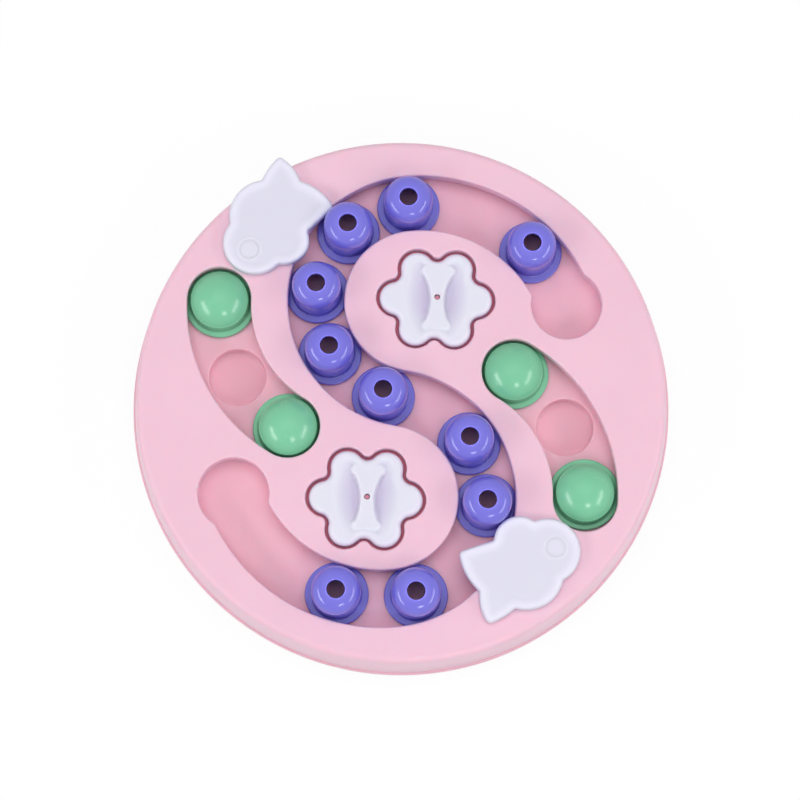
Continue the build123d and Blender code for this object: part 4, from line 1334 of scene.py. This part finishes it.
class PUZZLE_OT_underside(Operator):
    """Feet, screws and pivot washers under the shells"""

    bl_idname = "puzzle.underside"
    bl_label = "Feet And Screws"

    def execute(self, context):
        scene = context.scene
        g = scene.puzzle_fasteners
        rubber, steel = finish_of("tpr_soft_rubber"), finish_of("zinc_plated_steel")
        foot = [(0.0, g.foot_top), (g.foot, g.foot_top)]
        foot += corner((g.foot - FOOT_EDGE, FOOT_EDGE), FOOT_EDGE, 0, -QUARTER)
        foot += [(g.foot * out, FOOT_GROOVE_DEPTH * up) for out, up in FOOT_GROOVE_SHARES]
        foot.append((0.0, 0.0))
        places = [(*(g.foot_circle * unit(a)), 0.0) for a in FOOT_BEARINGS]
        self.scatter(foot, places, rubber, "floor_feet", "rubber_feet", "foot_rubber")

        seat, low = g.screw_pad_bottom, g.screw_pad_bottom - g.screw_head_height
        tip = seat + g.screw_length
        screw = [(0.0, tip), (g.screw, tip), (g.screw, seat), (g.screw_head, seat)]
        head_edge = (g.screw_head - SCREW_HEAD_ROUND, low + SCREW_HEAD_ROUND)
        screw += corner(head_edge, SCREW_HEAD_ROUND, 0, -QUARTER, steps=8)
        screw += [(DRIVE_MOUTH, low), (DRIVE_END, low + DRIVE_DEPTH), (0.0, low + DRIVE_TIP_DEPTH)]
        places = [(x, y, 0.0) for x, y in screw_places()]
        self.scatter(screw, places, steel, "shell_screws", "cover_screws", "screw_steel")

        for number in (1, 2):
            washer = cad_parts[f"pivot_washer_{number}"]
            washer.data.materials.clear()
            washer.data.materials.append(steel)
        return {"FINISHED"}

    def scatter(self, profile, places, material, name, node, slot):
        """One piece from copies of a turned model at several places."""
        data = turned(profile, (0.0, 0.0), False, FASTENER_SEGMENTS, material)
        model = bpy.data.objects.new("model", data)
        bpy.context.scene.collection.objects.link(model)
        grown_data = grown(scatter_tree(), places, [], {"Model": model, "Material": material})
        bpy.data.objects.remove(model)
        placed(grown_data, name, material, "shell", [node])


# The camera looks down from a little towards the user's side. Its lens and sensor are in millimetres.
CAMERA_TILT = math.radians(10.5)
CAMERA_DISTANCE = 1.239
CAMERA_AIM = Vector((0.0, 0.0, 0.028))
CAMERA_LENS = 121.5
CAMERA_SENSOR = 36.0
CAMERA_SHIFT = (-0.00125, -0.0027)
CAMERA_CLIP = (0.05, 50.0)

FLOOR_REACH = 6.0
FLOOR_GLOW_SHARE = 0.9
AMBIENT_STRENGTH = 0.3
WHITE = (1.0, 1.0, 1.0, 1.0)
LAMP_AIM = Vector((0.0, 0.0, 0.02))
# Soft boxes by name: place, size, power in watts, and whether glossy surfaces mirror it.
# The overhead one isn't mirrored, because it would lie as a grey veil on every level face.
SOFT_BOXES = {
    "overhead_softbox": ((0.0, 0.25, 1.7), (1.6, 1.2), 14.5, False),
    "left_softbox": ((-1.15, -0.45, 0.8), (1.1, 0.28), 5.6, True),
    "right_softbox": ((1.15, -0.35, 0.8), (1.1, 0.28), 4.6, True),
    "front_softbox": ((0.3, -0.95, 1.0), (0.28, 0.28), 2.0, True),
}


class PUZZLE_OT_stage(Operator):
    """Paper floor, soft studio light and the camera"""

    bl_idname = "puzzle.stage"
    bl_label = "Stage"

    def execute(self, context):
        scene = context.scene
        self.floor(scene)
        self.world(scene)
        self.lights(scene)
        self.camera(scene)
        scene.view_settings.view_transform = "Standard"
        return {"FINISHED"}

    def floor(self, scene):
        """White paper, which glows a little where it is seen and still takes the object's shadow."""
        mesh = bmesh.new()
        bmesh.ops.create_grid(mesh, x_segments=1, y_segments=1, size=FLOOR_REACH)
        data = bpy.data.meshes.new("paper_floor")
        mesh.to_mesh(data)
        mesh.free()
        floor = bpy.data.objects.new("paper_floor", data)
        scene.collection.objects.link(floor)
        material, tree = bare_material("matt_white_paper")
        white = (*scene.puzzle_colours.floor, 1.0)
        paper = add(tree, "ShaderNodeBsdfDiffuse", sets={"Color": white})
        glow = add(tree, "ShaderNodeEmission", sets={"Color": white, "Strength": 1.0})
        share = add(tree, "ShaderNodeMath", {0: self.seen(tree)}, {1: FLOOR_GLOW_SHARE}, operation="MULTIPLY")
        mix = add(
            tree, "ShaderNodeMixShader",
            {0: share.outputs[0], 1: paper.outputs["BSDF"], 2: glow.outputs["Emission"]},
        )
        add(tree, "ShaderNodeOutputMaterial", {"Surface": mix.outputs["Shader"]})
        data.materials.append(material)

    def seen(self, tree):
        """1 where the background is seen: by the camera, in a reflection or through something clear."""
        path = add(tree, "ShaderNodeLightPath").outputs
        shown = path["Is Camera Ray"]
        for kind in ("Is Glossy Ray", "Is Transmission Ray"):
            shown = add(tree, "ShaderNodeMath", {0: shown, 1: path[kind]}, operation="MAXIMUM").outputs[0]
        return shown

    def world(self, scene):
        """Dim even light, which looks white where it is seen."""
        world = bpy.data.worlds.new("studio")
        scene.world = world
        world.use_nodes = True
        tree = world.node_tree
        tree.nodes.clear()
        ambient = add(tree, "ShaderNodeBackground", sets={"Color": WHITE, "Strength": AMBIENT_STRENGTH})
        white = add(tree, "ShaderNodeBackground", sets={"Color": WHITE, "Strength": 1.0})
        mix = add(
            tree, "ShaderNodeMixShader",
            {0: self.seen(tree), 1: ambient.outputs["Background"], 2: white.outputs["Background"]},
        )
        add(tree, "ShaderNodeOutputWorld", {"Surface": mix.outputs["Shader"]})

    def lights(self, scene):
        """Soft boxes round the object, all turned to it."""
        for name, (place, size, power, mirrored) in SOFT_BOXES.items():
            lamp = bpy.data.lights.new(name, "AREA")
            lamp.shape = "RECTANGLE"
            lamp.size, lamp.size_y = size
            lamp.energy = power
            holder = bpy.data.objects.new(name, lamp)
            scene.collection.objects.link(holder)
            holder.visible_glossy = mirrored
            self.aim(holder, Vector(place), LAMP_AIM - Vector(place))

    def aim(self, holder, place, direction):
        """Puts a lamp or camera at a place and turns it in a direction."""
        holder.location = place
        holder.rotation_mode = "QUATERNION"
        holder.rotation_quaternion = direction.to_track_quat("-Z", "Y")

    def camera(self, scene):
        """Long lens, nearly straight above."""
        data = bpy.data.cameras.new("photo_camera")
        data.sensor_width = CAMERA_SENSOR
        data.lens = CAMERA_LENS
        data.shift_x, data.shift_y = CAMERA_SHIFT
        data.clip_start, data.clip_end = CAMERA_CLIP
        camera = bpy.data.objects.new("photo_camera", data)
        scene.collection.objects.link(camera)
        back = Vector((0.0, -math.sin(CAMERA_TILT), math.cos(CAMERA_TILT)))
        self.aim(camera, CAMERA_AIM + back * CAMERA_DISTANCE, -back)
        scene.camera = camera


BUILD_STEPS = (
    PUZZLE_OT_cover_shell,
    PUZZLE_OT_tray_shell,
    PUZZLE_OT_track_sliders,
    PUZZLE_OT_dome_sliders,
    PUZZLE_OT_flower_lids,
    PUZZLE_OT_fish_covers,
    PUZZLE_OT_underside,
    PUZZLE_OT_stage,
)


class PUZZLE_PT_builder(Panel):
    """Build steps of the treat puzzle"""

    bl_label = "Treat Puzzle"
    bl_idname = "PUZZLE_PT_builder"
    bl_space_type = "VIEW_3D"
    bl_region_type = "UI"
    bl_category = "Treat Puzzle"

    def draw(self, context):
        for step in BUILD_STEPS:
            self.layout.operator(step.bl_idname)
        colours = context.scene.puzzle_colours
        for name in colours.__annotations__:
            self.layout.prop(colours, name)


GROUPS = {
    "puzzle_shell": ShellSizes,
    "puzzle_track": TrackSizes,
    "puzzle_slider": SliderSizes,
    "puzzle_dome": DomeSizes,
    "puzzle_lid": LidSizes,
    "puzzle_fish": FishSizes,
    "puzzle_fasteners": FastenerSizes,
    "puzzle_colours": PuzzleColours,
}
CLASSES = (*GROUPS.values(), *BUILD_STEPS, PUZZLE_PT_builder)


def register():
    for cls in CLASSES:
        bpy.utils.register_class(cls)
    for name, group in GROUPS.items():
        setattr(bpy.types.Scene, name, PointerProperty(type=group))


def unregister():
    for name in GROUPS:
        delattr(bpy.types.Scene, name)
    for cls in reversed(CLASSES):
        bpy.utils.unregister_class(cls)


def main():
    register()
    for step in BUILD_STEPS:
        group, name = step.bl_idname.split(".")
        getattr(getattr(bpy.ops, group), name)()


if __name__ == "__main__":
    main()
